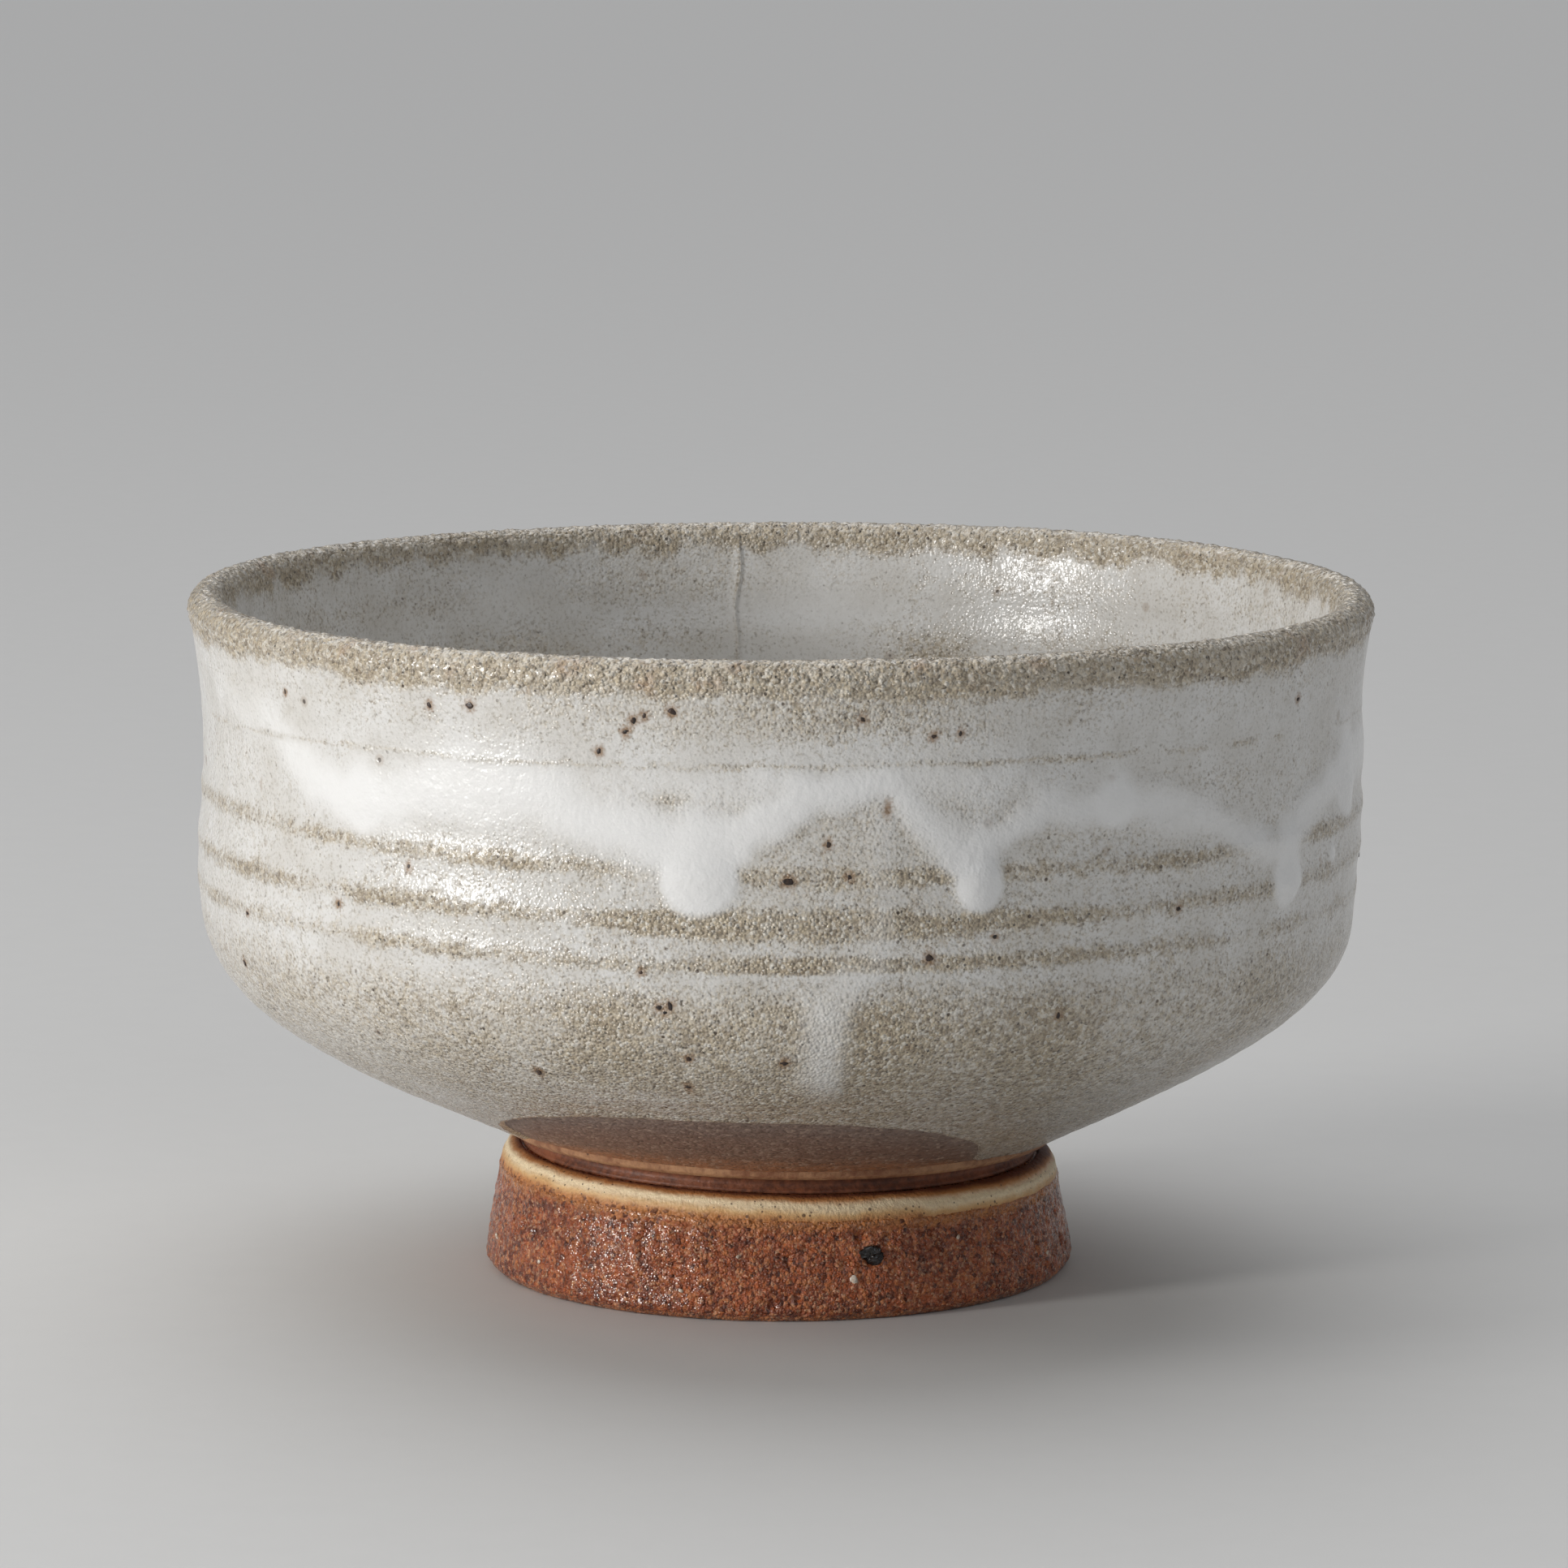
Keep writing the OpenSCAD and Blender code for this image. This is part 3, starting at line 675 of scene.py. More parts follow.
def foot_material():
    """Coarse red clay, flashed in the kiln: packed grains that glint, black and pale specks. glow is 1 where
    the clay turns orange beside the slip, which is flashing, and about half along the bottom bevel, where it
    paints an orange highlight."""
    n = Nodes("coarse_red_clay")
    patch = n.noise(2.6, 3, 0.6)
    tone, bumps = n.grains(0.50)
    small_tone, small_bumps = n.grains(0.27)
    cloud = n.noise(11.0, 2, 0.5)
    body = n.sum(n.times(n.noise(0.50, 3, 0.7), 0.6), n.times(patch, 0.6), n.times(cloud, 0.3))
    n.color = n.mix(n.ramp(body, 0.60, 0.88), (0.170, 0.036, 0.012), (0.430, 0.108, 0.034))
    n.paint(n.ramp(tone, 0.62, 0.95, 0.0, 0.60), (0.60, 0.225, 0.080))
    n.paint(n.ramp(tone, 0.24, 0.04, 0.0, 0.75), (0.070, 0.018, 0.009))
    n.paint(n.ramp(small_tone, 0.82, 1.0, 0.0, 0.6), (0.72, 0.40, 0.22))
    # Orange flashing beside the slip, and a painted orange highlight along the bottom bevel.
    flash_and_highlight_mask = n.ramp(n.sum(n.field("flash_and_bevel_highlight"), n.times(n.off(patch), 0.9)), 0.15, 1.0)
    n.paint(flash_and_highlight_mask, (0.56, 0.225, 0.070), 0.75)
    # Painted shade in the gaps between the grains.
    n.paint(n.ramp(bumps, 0.45, 0.0, 0.0, 0.3), (0.080, 0.020, 0.009))
    n.paint(n.specks(1.5, 0.20, 0.24), (0.030, 0.016, 0.012), 0.8)
    n.paint(n.specks(2.1, 0.15, 0.25), (0.66, 0.50, 0.38), 0.5)
    n.emboss(n.noise(1.1, 3, 0.6), 0.32, 0.8)
    n.emboss(bumps, 0.20, 0.8)
    n.emboss(small_bumps, 0.12, 0.9)
    dull = n.sum(n.times(small_tone, 0.6), n.times(n.noise(2.0, 3, 0.7), 0.6))
    roughness = n.ramp(dull, 0.3, 0.8, 0.20, 0.50)
    glassy = n.bump(small_bumps, 0.040, n.bump(patch, 0.10, strength=0.6), 0.8)
    wet = n.ramp(small_tone, 0.30, 0.80, 0.10, 1.0)
    return n.finish(roughness, 1.42, {"Coat Weight": wet, "Coat Roughness": 0.15, "Coat Normal": glassy})


def slip_material():
    """Cream slip on the shoulder, burnt orange at its edges. band is 0 at the corner's foot and 1 on top."""
    n = Nodes("cream_slip")
    wander = n.times(n.off(n.noise(2.2, 3, 0.6)), 0.22), n.times(n.off(n.noise(9.0, 2, 0.5)), 0.25)
    band = n.sum(n.field("band"), *wander)
    n.color = n.mix(n.ramp(band, -0.30, 0.0), (0.33, 0.085, 0.028), (0.53, 0.215, 0.065))
    n.paint(n.ramp(band, -0.06, 0.22), (0.74, 0.47, 0.21))
    n.paint(n.ramp(band, 0.12, 0.36), (0.92, 0.755, 0.50))
    n.paint(n.ramp(band, 0.40, 0.66), (0.55, 0.24, 0.080))
    n.paint(n.ramp(band, 0.58, 0.88), (0.15, 0.042, 0.018))
    for size, radius in ((0.65, 0.12), (1.9, 0.20)):
        n.paint(n.specks(size, radius, 0.42), (0.07, 0.032, 0.018), 0.8)
    # Grains of the clay come through its lower edge.
    tone, bumps = n.grains(0.50)
    edge = n.ramp(band, 0.14, -0.12)
    n.paint(n.times(edge, n.ramp(tone, 0.36, 0.05)), (0.11, 0.027, 0.011))
    n.paint(n.times(edge, n.ramp(tone, 0.62, 0.95, 0.0, 0.6)), (0.62, 0.26, 0.095))
    n.paint(n.ramp(n.noise(0.5, 3, 0.6), 0.45, 0.75), (0.36, 0.17, 0.07), 0.22)
    n.emboss(n.noise(0.55, 3, 0.6), 0.28, 0.8)
    n.emboss(n.noise(0.6, 2, 0.5, n.stretch(0.15, 0.15, 1.0)), 0.10, 0.4)
    n.emboss(bumps, 0.24, n.times(edge, 0.9))
    return n.finish(n.sum(0.36, n.times(n.noise(1.2, 2, 0.6), 0.22)))


def wash_material():
    """Thin brown wash between the glaze and the ledge. band is 0 at the ledge and 1 at the glaze."""
    n = Nodes("brown_wash")
    fleck = n.noise(1.1, 3, 0.6)
    tone, bumps = n.grains(0.40)
    band = n.sum(n.field("band"), n.times(n.off(n.noise(3.0, 3, 0.6)), 0.3))
    n.color = n.mix(n.ramp(band, 0.0, 0.40), (0.42, 0.175, 0.080), (0.235, 0.135, 0.098))
    n.paint(n.ramp(band, 0.45, 1.05), (0.255, 0.195, 0.165))
    n.paint(n.ramp(n.noise(0.5, 3, 0.7), 0.48, 0.64), (0.11, 0.062, 0.045), 0.45)
    n.paint(n.ramp(fleck, 0.5, 0.70), (0.13, 0.07, 0.05), 0.30)
    n.paint(n.ramp(tone, 0.72, 1.0, 0.0, 0.55), (0.52, 0.38, 0.29))
    n.paint(n.ramp(tone, 0.28, 0.0, 0.0, 0.60), (0.09, 0.048, 0.034))
    n.paint(n.specks(1.0, 0.18, 0.40), (0.05, 0.03, 0.02), 0.8)
    n.emboss(n.noise(0.8, 3, 0.6), 0.20, 0.7)
    n.emboss(bumps, 0.10, 0.6)
    return n.finish(n.sum(0.40, n.times(fleck, 0.2)))


def bare_clay_material(name, dark, light, gloss):
    """Smooth bare clay: fine grain and specks."""
    n = Nodes(name)
    tone = n.sum(n.times(n.noise(0.8, 3, 0.65), 0.6), n.times(n.noise(6.0, 3, 0.6), 0.6))
    n.color = n.mix(n.ramp(tone, 0.42, 0.78), dark, light)
    n.paint(n.specks(1.6, 0.18, 0.3), (0.03, 0.018, 0.012), 0.7)
    n.paint(n.specks(2.6, 0.16, 0.2), (0.62, 0.50, 0.38), 0.5)
    n.emboss(n.noise(0.6, 3, 0.65), 0.16, 0.7)
    return n.finish(n.sum(gloss, n.times(n.noise(1.0, 2, 0.6), 0.25)))


def mineral_material(name, dark, light, gloss, size):
    """A speck of stone or iron: two tones, a rough or glassy face."""
    n = Nodes(name)
    n.color = n.mix(n.ramp(n.noise(size, 3, 0.7), 0.35, 0.65), dark, light)
    n.emboss(n.noise(size, 3, 0.7), 0.08, 0.7)
    return n.finish(n.sum(gloss, n.times(n.noise(size * 2, 2, 0.6), 0.15)), 1.55)


# ---------------------------------------------------------------- outer glaze, wash and lip


def glaze_line_z(phi):
    """Height at which the pale glaze stops: two unglazed patches, where fingers held the foot."""
    away = np.minimum(np.abs(turn(phi, -8)), np.abs(turn(phi, 168)))
    line = np.maximum(25.3 - (away / 20) ** 2.46, 16.5 + 0.15 * np.sin(np.radians(phi) * 5))
    p = place(phi, 50.0 + 0 * phi, 25.0)
    return line + 0.22 * rough(p, 7, 21, 3)


def outer_relief(phi, s, z, p):
    edge = s - wall_s(glaze_line_z(phi))
    roll = 0.10 * bell(edge, 0.7, 0.7) - 0.30 * (1 - smooth(0.0, 0.7, edge))
    return wall_relief(phi, z, p) + roll


def rim_grit(phi, s, z, p):
    """Sand in the lip's glaze: rounded grains that break its outline."""
    start = smooth(0, 2.2, z - 71.0 - 0.8 * inside_share(s))
    patchy = 0.75 + 0.35 * rough(p, 9, 103, 2)
    grains = 0.27 * lumps(p, 1.0, 101) + 0.17 * lumps(p, 0.62, 107) + 0.06 * noise(p, 0.45, 109)
    return start * patchy * (grains - 0.10)


def inner_relief(phi, s, z, p):
    return 0.10 * throwing_rings(phi, z, p) + 0.12 * rough(p, 15, 31, 2) + 0.04 * rough(p, 4, 33, 2)


def lip_relief(phi, s, z, p):
    """From the outside's relief at the crest of the lip to the inner wall's below it."""
    share = inside_share(s)
    return wall_relief(phi, z, p) * (1 - share) + inner_relief(phi, s, z, p) * share + rim_grit(phi, s, z, p)


def build_glazes():
    phi = columns(1040)
    low, high, inner_top = wall_s(glaze_line_z(phi)), wall_s(LIP_Z), inner_s(LIP_Z)
    steps = np.concatenate([[0, 0.004, 0.010, 0.018], np.linspace(0.03, 1, 82)])
    s = low + (high - low) * steps[:, None]
    outer = coat("outer_glaze_skin", phi, s, outer_relief, GLAZE_T, 12, glaze_fields)
    hand_over(outer, "outer_glaze", glaze_material("pale_glaze_outside"))

    phi = columns(1480)
    s = spread(np.linspace(high, inner_top, 60), phi)
    rim = coat("lip_glaze_skin", phi, s, lip_relief, GLAZE_T, 14, glaze_fields)
    hand_over(rim, "rim_glaze", glaze_material("sandy_lip_glaze"))

    phi = columns(840)
    s = spread(inner_top + (MARK["end"] - inner_top) * np.linspace(0, 1, 104) ** 1.15, phi)
    inner = coat("inner_glaze_skin", phi, s, lip_relief, GLAZE_T, 10, glaze_fields)
    hand_over(inner, "inner_glaze", glaze_material("pale_glaze_inside"))


def wash_relief(phi, s, z, p):
    return wall_relief(phi, z, p) + 0.05 * np.sin(2 * math.pi * s / 1.7) * smooth(0.3, 1.5, s)


def wash_fields(phi, s, z, p):
    return {"band": np.clip(s / np.maximum(wall_s(glaze_line_z(phi)), 1.0), 0, 1)}


def build_wash():
    phi = columns(720)
    s = (wall_s(glaze_line_z(phi)) + 0.5) * np.linspace(0, 1, 40)[:, None]
    wash = coat("brown_wash_skin", phi, s, wash_relief, GLAZE_T, 10, wash_fields, GLAZE_T - WASH_T)
    hand_over(wash, "foot_wash", wash_material())


# ---------------------------------------------------------------- the white pour and its drips


def cut_patch(name, top, under, picked, fields):
    """Closed shell from the picked faces of a grid that goes round: top face, under face and edges."""
    cols = top.shape[1]
    i, j = np.nonzero(picked)
    k = (j + 1) % cols
    quads = np.stack([i * cols + j, i * cols + k, (i + 1) * cols + k, (i + 1) * cols + j], 1)
    used, flat = np.unique(quads, return_inverse=True)
    quads = flat.reshape(-1, 4)
    count = len(used)
    edges = np.concatenate([quads[:, [a, (a + 1) % 4]] for a in range(4)])
    key = edges[:, 0].astype(np.int64) * count + edges[:, 1]
    back = edges[:, 1].astype(np.int64) * count + edges[:, 0]
    rim = edges[~np.isin(key, back)]
    sides = np.stack([rim[:, 1], rim[:, 0], rim[:, 0] + count, rim[:, 1] + count], 1)
    faces = np.concatenate([quads, quads[:, ::-1] + count, sides]).tolist()
    points = np.concatenate([top.reshape(-1, 3)[used], under.reshape(-1, 3)[used]])
    sharp = np.zeros(2 * count)
    sharp[np.unique(rim)] = 1
    sharp[np.unique(rim) + count] = 2
    values = {key_: np.concatenate([v.reshape(-1)[used]] * 2) for key_, v in fields.items()}
    return finish_mesh(name, points, faces, sharp, **values)


POUR_THICK = 0.58


def build_pour():
    phi = columns(1440)
    s = spread(np.linspace(wall_s(28.0), wall_s(69.0), 112), phi)
    r, z = skin(s)
    p = place(phi, r, z)
    band, drips = pour_fields(phi, z, p)
    both, lead = join(0.55 * band, drips), drips - 0.55 * band
    base = outer_relief(phi, s, z, p)
    top, under = (warp(on_skin(phi, s, off)) for off in (base + POUR_THICK * both, base - 0.25))
    over_ridge = 1 - 0.6 * bell(z, ridge_z(RIDGES[0], phi), 0.35)
    white = np.clip(join(0.88 * band, 1.7 * drips), 0, 1) * over_ridge
    fields = {"thin": tan_field(phi, z, p), "white": white, "rust": rust_field(phi, z), "sand": 0 * z}

    def per_face(values, reduce):
        right = np.roll(values, -1, axis=1)
        return reduce(np.stack([values[:-1], right[:-1], values[1:], right[1:]]), axis=0)

    present = per_face(both, np.max) > 0.02
    dripping = per_face(lead, np.mean) > 0
    for name, node, picked in (
        ("white_pour_skin", "white_pour", present & ~dripping),
        ("white_drips_skin", "glaze_drips", present & dripping),
    ):
        piece = cut_patch(name, top, under, picked, fields)
        hand_over(piece, node, glaze_material(name.replace("_skin", "_glaze")))


def build_seam():
    """Upright edge inside, at the back, where one pour of the inner glaze overlaps the other."""
    across = np.linspace(-1.3, 1.3, 25)
    s = spread(np.linspace(LIP_TOP + 1.2, inner_s(SEAM_Z), 100), across)
    r, z = skin(s)
    wander = 0.30 * np.sin(z / 3.1) + 0.15 * np.sin(z / 1.3 + 1) + 0.25 * np.sin(z / 9.0)
    phi = SEAM_PHI + np.degrees((across + wander) / SEAM_R)
    fade = smooth(SEAM_Z, SEAM_Z + 8, z) * (1 - 0.5 * smooth(72, 75, z))
    height = 0.26 * np.where(across < 0, bell(across, 0, 0.16), bell(across, 0, 0.75)) - 0.02
    p = place(phi, r, z)
    base = lip_relief(phi, s, z, p)
    top, under = (warp(on_skin(phi, s, off)) for off in (base + height * fade, base - 0.3))
    fields = glaze_fields(phi, s, z, p)
    # Painted light along the seam: the darker line just past the crest on its gentle side is painted shade,
    # and the whiter band below its steep side is a painted highlight.
    fields["thin"] = fields["thin"] + 0.25 * bell(across, 0.2, 0.2) * fade
    fields["white"] = fields["white"] + 0.25 * bell(across, -0.7, 0.5) * fade
    picked = np.ones((len(s) - 1, len(across)), bool)
    picked[:, -1] = False
    seam = cut_patch("inner_seam_ridge", top, under, picked, fields)
    hand_over(seam, "inner_seam", glaze_material("seam_glaze"))


# ---------------------------------------------------------------- clay, joint, shoulder and foot


def resample(path, step, close=False):
    """Even points along a path of straight runs, with its corners kept."""
    pts = np.array(path, float)
    if close:
        pts = np.concatenate([pts, pts[:1]])
    out = []
    for a, b in zip(pts[:-1], pts[1:]):
        n = max(1, int(round(np.linalg.norm(b - a) / step)))
        out.extend(a + (b - a) * t for t in np.arange(n) / n)
    if not close:
        out.append(pts[-1])
    return np.array(out)


def soften(path, times, close=True):
    """Rounds a path's corners by averaging each point with its neighbours."""
    for _ in range(times):
        before, after = np.roll(path, 1, 0), np.roll(path, -1, 0)
        if not close:
            before[0], after[-1] = path[0], path[-1]
        path = path * 0.5 + (before + after) * 0.25
    return path


def section_ring(name, path, cols, relief, fields=None):
    """A ring with the given closed section, whose points go round with the clay on their left."""
    phi = columns(cols)
    step = np.roll(path, -1, 0) - np.roll(path, 1, 0)
    step /= np.linalg.norm(step, axis=1)[:, None] + 1e-12
    r, z = spread(path[:, 0], phi), spread(path[:, 1], phi)
    p = place(phi, r, z)
    up = relief(phi, r, z, p)
    rings = warp(place(phi, r + up * step[:, 1:], z - up * step[:, :1]))
    rings[..., 2] = np.maximum(rings[..., 2], 0)
    return ring_shell(name, rings, (), fields(phi, r, z, p) if fields else None)


def foot_wall_r(z):
    return np.interp(z, [high for _, high in FOOT_WALL], [radius for radius, _ in FOOT_WALL])


def corner_point(angle):
    """Points round the foot's top corner: 0 degrees at its foot and 90 on top."""
    a = np.radians(angle)
    return np.stack([SHOULDER_R - CORNER_W + CORNER_W * np.cos(a), CORNER_Z + CORNER_H * np.sin(a)], -1)


def foot_relief(phi, r, z, p):
    """Coarse clay: lumps, pits, the potter's upright drags, a chip, a scar and the stone's pit."""
    wall = smooth(26.5, 31.0, r) * smooth(0.0, 1.0, z) * (1 - smooth(10.2, 11.2, z))
    coarse = 0.12 * lumps(p, 1.4, 201) + 0.09 * lumps(p, 0.8, 203) + 0.12 * rough(p, 2.6, 205, 3)
    pits = -0.34 * smooth(0.55, 0.85, lumps(p, 2.4, 207)) * smooth(0.0, 0.3, noise(p, 4, 209))
    x = np.radians(turn(phi, 0)) * FOOT_R
    drag = 0.05 * noise(np.stack([p[..., 0], p[..., 1], p[..., 2] * 0.1], -1), 0.9, 211)
    chip_x, chip_z = x + 12.6, z - 5.7 + 0.12 * (x + 12.6)
    chip = -0.45 * np.clip(1 - (chip_x / 1.9) ** 2 - (chip_z / 0.45) ** 2, 0, 1) ** 0.6
    scar_x = x + 16.4 + 0.35 * np.sin(z * 1.9)
    scar = 0.22 * bell(scar_x, 0, 0.28) * smooth(4.6, 6.0, z) * (1 - smooth(9.4, 10.4, z))
    pit = -0.9 * np.clip(1 - ((x - 10.7) / 1.35) ** 2 - ((z - 7.0) / 1.15) ** 2, 0, 1)
    step_edge = 0.16 * bell(z, 10.5, 0.5) * smooth(26.5, 31.0, r)
    return (coarse - 0.11 + pits + drag) * (0.25 + 0.75 * wall) + (chip + scar + pit) * wall + step_edge


def build_foot():
    corner = corner_point(np.arange(15, 91, 15.0)) - [0.28, 0.28]
    shown = [[BORE_R, 0], *FOOT_WALL, *corner[:-1]]
    hidden = [corner[-2], corner[-1], [JOINT_R, FOOT_H], [BORE_TOP_R, FOOT_H], [BORE_R, 0]]
    path = soften(np.concatenate([resample(shown, 0.28)[:-1], resample(hidden, 0.9)[:-1]]), 2)

    def foot_fields(phi, r, z, p):
        # Orange flashing below the slip, and along the bottom bevel a painted orange highlight.
        bottom_edge_highlight = 0.55 * (1 - smooth(0.3, 1.3, z))
        return {"flash_and_bevel_highlight": np.maximum(smooth(8.6, 11.0, z), bottom_edge_highlight) * smooth(28, 30, r)}

    ring = section_ring("foot_ring_clay", path, 1040, foot_relief, foot_fields)
    hand_over(ring, "foot_ring", foot_material())

    angle = np.linspace(0, 90, 30)
    apron_z = CORNER_Z - np.array([1.5, 1.2, 0.9, 0.6, 0.3])
    apron = np.stack([foot_wall_r(apron_z) + [-0.20, -0.10, 0.0, 0.02, 0.02], apron_z], -1)
    back = np.concatenate([corner_point(angle[::-3]) - [0.45, 0.45], apron[::-1] - [0.45, 0]])

    def slip_relief(phi, r, z, p):
        return 0.06 * rough(p, 3.5, 221, 3) + 0.03 * np.sin(2 * math.pi * z / 0.9)

    def slip_fields(phi, r, z, p):
        share = np.degrees(np.arctan2((z - CORNER_Z) / CORNER_H, (r - SHOULDER_R + CORNER_W) / CORNER_W)) / 90
        return {"band": np.clip(share + 0.12 * np.sin(np.radians(phi - 20)), -0.6, 1.3)}

    path = np.concatenate([apron, corner_point(angle), back])
    slip = section_ring("shoulder_slip_skin", path, 720, slip_relief, slip_fields)
    hand_over(slip, "shoulder_slip", slip_material())


def build_joint():
    """Dark slip in the groove between the foot and the bowl, with a fillet down the foot's bore."""
    top, low = LEDGE_Z, FOOT_H
    recess = [[JOINT_R - 0.5 * math.sin(math.pi * k / 6), low + (top - low) * k / 6] for k in range(1, 6)]
    turns = np.linspace(math.pi / 2, 0, 8)
    fillet = np.stack([24.3 + 1.2 * np.cos(turns), 10.8 + 1.2 * np.sin(turns)], -1)
    outside = [[BORE_TOP_R, low], [JOINT_R, low], *recess, [JOINT_R, top]]
    path = resample([[PAD_R, PAD_Z], *fillet, *outside, [PAD_R, top]], 0.35, close=True)

    def relief(phi, r, z, p):
        shown = (r > 27.5) * (z < top - 0.2) * (z > low + 0.2)
        return (0.07 * rough(p, 2.2, 231, 3) + 0.05 * np.sin(2 * math.pi * z / 0.8)) * shown

    joint = section_ring("foot_joint_slip", path, 600, relief)
    dark = bare_clay_material("dark_joint_slip", (0.085, 0.025, 0.012), (0.27, 0.088, 0.036), 0.42)
    hand_over(joint, "foot_joint", dark)


def build_body():
    """The clay itself: it shows at the ledge above the foot and in the hollow under the bowl."""
    phi = columns(480)
    tokin = [[0, TOKIN_Z], [1.2, TOKIN_Z + 0.05], [3, TOKIN_Z + 0.2]]
    base = resample([*tokin, [8, PAD_Z], [PAD_R, PAD_Z]], 0.8)
    base = np.concatenate([base[:1], soften(base, 3, close=False)[1:]])
    r, z = spread(base[:, 0], phi), spread(base[:, 1], phi)
    turned = 0.10 * np.sin(2 * math.pi * r / 3.1) * smooth(1, 4, r)
    turned = turned + 0.06 * rough(place(phi, r, z), 3, 241, 3) * np.minimum(1, r / 3)
    under = warp(place(phi, r, z - turned * (r < PAD_R - 1)))

    edge = resample([[PAD_R, LEDGE_Z], [LEDGE_R - 0.5, LEDGE_Z], [LEDGE_R + 0.12, LEDGE_Z + 0.55]], 0.5)
    r, z = spread(edge[:, 0], phi), spread(edge[:, 1], phi)
    up = 0.10 * rough(place(phi, r, z), 4, 243, 3) * smooth(LEDGE_R - 1.5, LEDGE_R, r)
    ledge = warp(place(phi, r + up, z))

    crest = MARK["lip_out"]
    s = np.concatenate([np.linspace(0.3, crest, 60), np.linspace(crest + 1, MARK["end"], 60)])
    wall = skin_rings(phi, spread(s, phi), None, GLAZE_T)
    body = ring_shell("clay_body", np.concatenate([under, ledge, wall]))
    clay = bare_clay_material("bare_body_clay", (0.24, 0.095, 0.045), (0.50, 0.27, 0.14), 0.45)
    hand_over(body, "clay_bowl", clay)


# ---------------------------------------------------------------- stones and specks


def pebble(rows, cols, seed, jagged):
    """Points and faces of a small irregular stone of radius one."""
    v = np.linspace(0, math.pi, rows)[1:-1]
    u = np.arange(cols) * 2 * math.pi / cols
    across = [np.outer(np.sin(v), np.cos(u)), np.outer(np.sin(v), np.sin(u))]
    ring = np.stack([*across, np.outer(np.cos(v), np.ones(cols))], -1).reshape(-1, 3)
    points = np.concatenate([ring, [[0, 0, 1], [0, 0, -1]]])
    shift = np.array([seed * 3.7, seed * 1.9, seed * 5.3])
    points = points * (1 + jagged * rough(points + shift, 0.9, 300 + seed, 3))[:, None]
    faces = []
    for i in range(rows - 3):
        for j in range(cols):
            k = (j + 1) % cols
            faces.append([i * cols + j, (i + 1) * cols + j, (i + 1) * cols + k, i * cols + k])
    last = (rows - 3) * cols
    for j in range(cols):
        k = (j + 1) % cols
        faces.append([len(ring), j, k])
        faces.append([len(ring) + 1, last + k, last + j])
    return points, faces


def scatter(name, spots, surface, jagged, flat, detail=(9, 14), wide=1.0):
    """One mesh of pebbles, each at (angle, height, radius), set into a surface and turned with it."""
    points, faces, count = [], [], 0
    for seed, (at, high, radius) in enumerate(spots):
        p, f = pebble(*detail, seed, jagged)
        stretch = wide * (1 + 0.22 * math.sin(seed * 2.4))
        a = math.radians(at)
        out = np.array([math.sin(a), -math.cos(a), 0])
        side = np.array([math.cos(a), math.sin(a), 0])
        middle, tilt = surface(at, high)
        up = np.array([0, 0, 1.0]) * math.cos(tilt) + out * math.sin(tilt)
        face = out * math.cos(tilt) - np.array([0, 0, 1.0]) * math.sin(tilt)
        local = p * [radius * stretch, radius * flat, radius / stretch]
        points.append(middle + local[:, :1] * side + local[:, 1:2] * face + local[:, 2:] * up)
        faces += [[v + count for v in g] for g in f]
        count += len(p)
    return finish_mesh(name, warp(np.concatenate(points)), faces)


def on_wall(at, high):
    """Where the glazed wall is at an angle and height, and how far it leans out from there upwards."""
    phi, s = np.array([float(at)]), np.array([wall_s(high)])
    r, z = skin(s)
    up = outer_relief(phi, s, z, place(phi, r, z))
    nr, nz = (np.interp(s[0], SKIN_S, SKIN_N[:, k]) for k in (0, 1))
    return on_skin(phi, s, up)[0], math.atan2(-nz, nr)


def on_foot(at, high):
    return place(float(at), float(foot_wall_r(high)) - 0.02, high), FOOT_LEAN


def in_foot(at, high):
    """Deeper in, where the black stone sits in its pit."""
    return place(float(at), FOOT_R - 1.25, high), FOOT_LEAN


# The black stone and the feldspar grains in the foot: angle, height and radius.
STONE = (18.9, 7.0, 1.12)
GRAINS = [
    (14.6, 4.6, 0.44), (-54, 3.6, 0.22), (-32, 8.6, 0.20), (-19, 3.1, 0.22), (-8, 7, 0.18), (38, 8.2, 0.24),
    (66, 3.8, 0.30), (100, 7.2, 0.24), (132, 4.2, 0.30), (167, 8.4, 0.26), (208, 3.6, 0.32), (241, 7.5, 0.26),
    (285, 4.1, 0.28),
]


def build_minerals():
    iron = scatter("iron_speck_group", IRON, on_wall, 0.75, 0.30, (11, 18))
    rusty = mineral_material("iron_spot", (0.010, 0.007, 0.006), (0.055, 0.026, 0.014), 0.30, 0.35)
    hand_over(iron, "iron_specks", rusty)
    grains = scatter("feldspar_grain_group", GRAINS, on_foot, 0.6, 0.6)
    creamy = mineral_material("feldspar_grain", (0.50, 0.38, 0.28), (0.86, 0.80, 0.70), 0.3, 0.4)
    hand_over(grains, "feldspar_grains", creamy)
    stone = scatter("black_stone_chip", [STONE], in_foot, 0.9, 0.7, (15, 22), 1.32)
    stone.data.polygons.foreach_set("use_smooth", np.zeros(len(stone.data.polygons), bool))
    glass = mineral_material("black_glass", (0.004, 0.004, 0.004), (0.035, 0.030, 0.028), 0.08, 0.6)
    hand_over(stone, "black_stone", glass)


# ---------------------------------------------------------------- studio


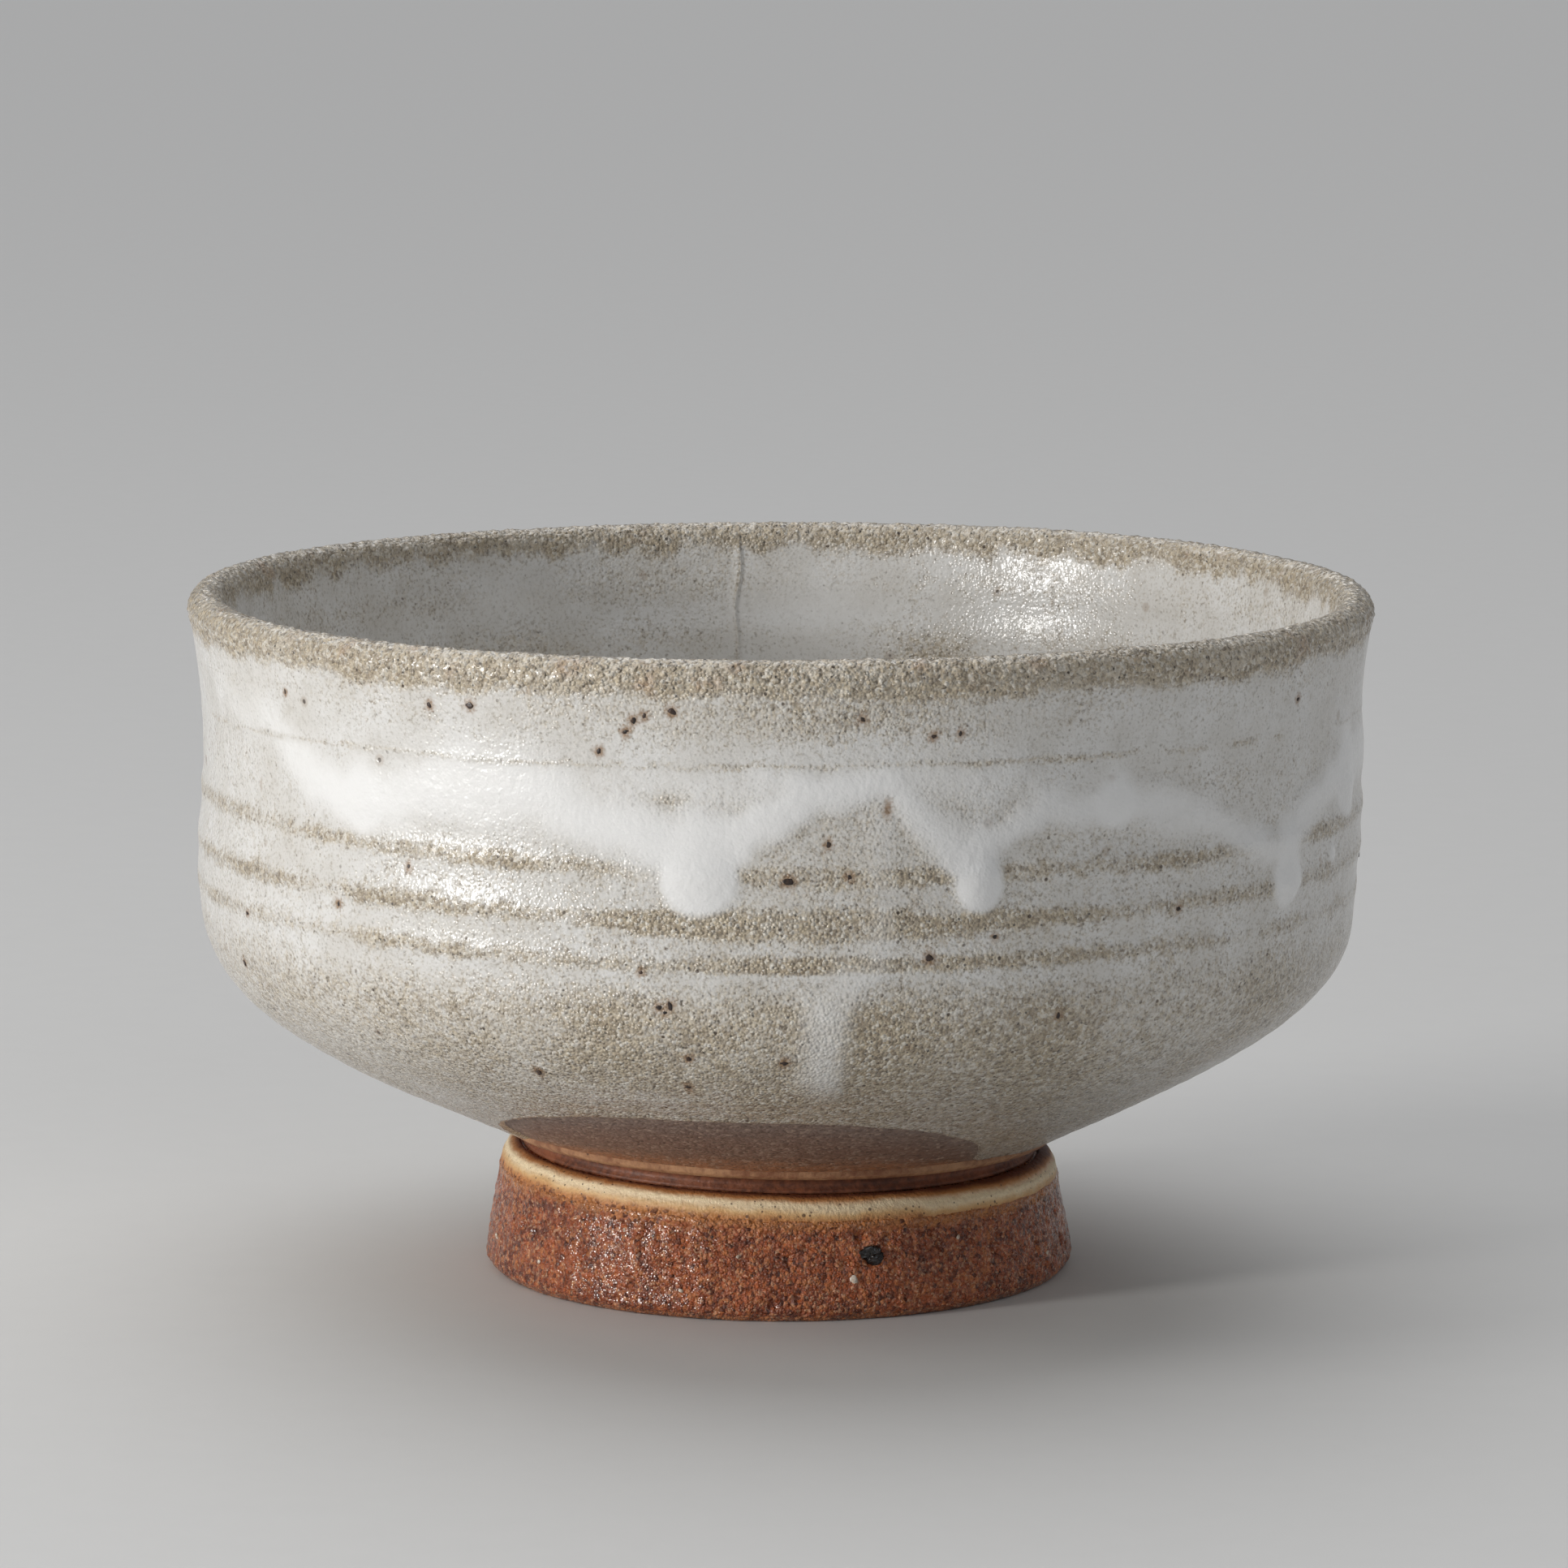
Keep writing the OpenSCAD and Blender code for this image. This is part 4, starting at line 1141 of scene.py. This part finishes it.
def area_light(name, azimuth, elevation, distance, width, height, power, color, aim=0.045):
    """A soft box at an azimuth from the front, positive to the right, aimed at the bowl."""
    data = bpy.data.lights.new(name, "AREA")
    data.shape, data.size, data.size_y = "RECTANGLE", width, height
    data.energy, data.color = power, color
    light = bpy.data.objects.new(name, data)
    a, e = math.radians(azimuth), math.radians(elevation)
    spot = np.array([math.sin(a) * math.cos(e), -math.cos(a) * math.cos(e), math.sin(e)]) * distance
    spot[2] += aim
    back = np.array([spot[0], spot[1], spot[2] - aim])
    back /= np.linalg.norm(back)
    side = np.cross([0, 0, 1], back)
    side /= np.linalg.norm(side)
    up = np.cross(back, side)
    light.matrix_world = Matrix([[side[k], up[k], back[k], spot[k]] for k in range(3)] + [[0, 0, 0, 1]])
    bpy.context.scene.collection.objects.link(light)


def build_studio():
    mesh = bpy.data.meshes.new("studio_floor")
    half = 12.0
    corners = [(-half, -half, 0), (half, -half, 0), (half, half, 0), (-half, half, 0)]
    mesh.from_pydata(corners, [], [(0, 1, 2, 3)])
    floor = bpy.data.objects.new("studio_floor", mesh)
    bpy.context.scene.collection.objects.link(floor)
    n = Nodes("pale_floor")
    n.color = n.mix(n.noise(5, 3, 0.5), (0.635, 0.63, 0.62), (0.655, 0.65, 0.64))
    n.emboss(n.noise(0.8, 3, 0.6), 0.02, 0.3)
    mesh.materials.append(n.finish(0.7))

    world = bpy.data.worlds.new("studio_world")
    world.use_nodes = True
    sky_inputs = world.node_tree.nodes["Background"].inputs
    sky_inputs["Color"].default_value = (0.92, 0.95, 1.0, 1)
    sky_inputs["Strength"].default_value = 0.20
    bpy.context.scene.world = world

    area_light("key_softbox", -61, 8, 1.1, 0.18, 0.28, 6.8, (1.0, 0.985, 0.96))
    area_light("high_softbox", -68, 38, 1.3, 0.5, 0.5, 2.6, (1.0, 0.985, 0.96))
    area_light("fill_softbox", 22, 30, 1.5, 0.9, 0.9, 2.3, (0.95, 0.975, 1.0))
    diffuser = bpy.data.lights.new("overhead_diffuser", "SUN")
    diffuser.energy, diffuser.angle = 1.35, math.radians(70)
    overhead = bpy.data.objects.new("overhead_diffuser", diffuser)
    overhead.rotation_euler = (math.radians(-28), math.radians(-8), 0)
    bpy.context.scene.collection.objects.link(overhead)


def build_camera():
    data = bpy.data.cameras.new("photo_camera")
    data.sensor_width, data.lens = 36.0, 163.7
    data.clip_start, data.clip_end = 0.05, 60.0
    camera = bpy.data.objects.new("photo_camera", data)
    pitch, yaw, roll = math.radians(8.54), math.radians(0.03), math.radians(0.2)
    aim = Matrix.Rotation(-yaw, 4, "Z") @ Matrix.Rotation(math.pi / 2 - pitch, 4, "X")
    aim = aim @ Matrix.Rotation(roll, 4, "Z")
    camera.matrix_world = Matrix.Translation((0, -0.7787, 0.1705)) @ aim
    bpy.context.scene.collection.objects.link(camera)
    bpy.context.scene.camera = camera


build_camera()
build_studio()
build_glazes()
build_wash()
build_pour()
build_seam()
build_foot()
build_joint()
build_body()
build_minerals()
bpy.context.scene.view_settings.view_transform = "Standard"
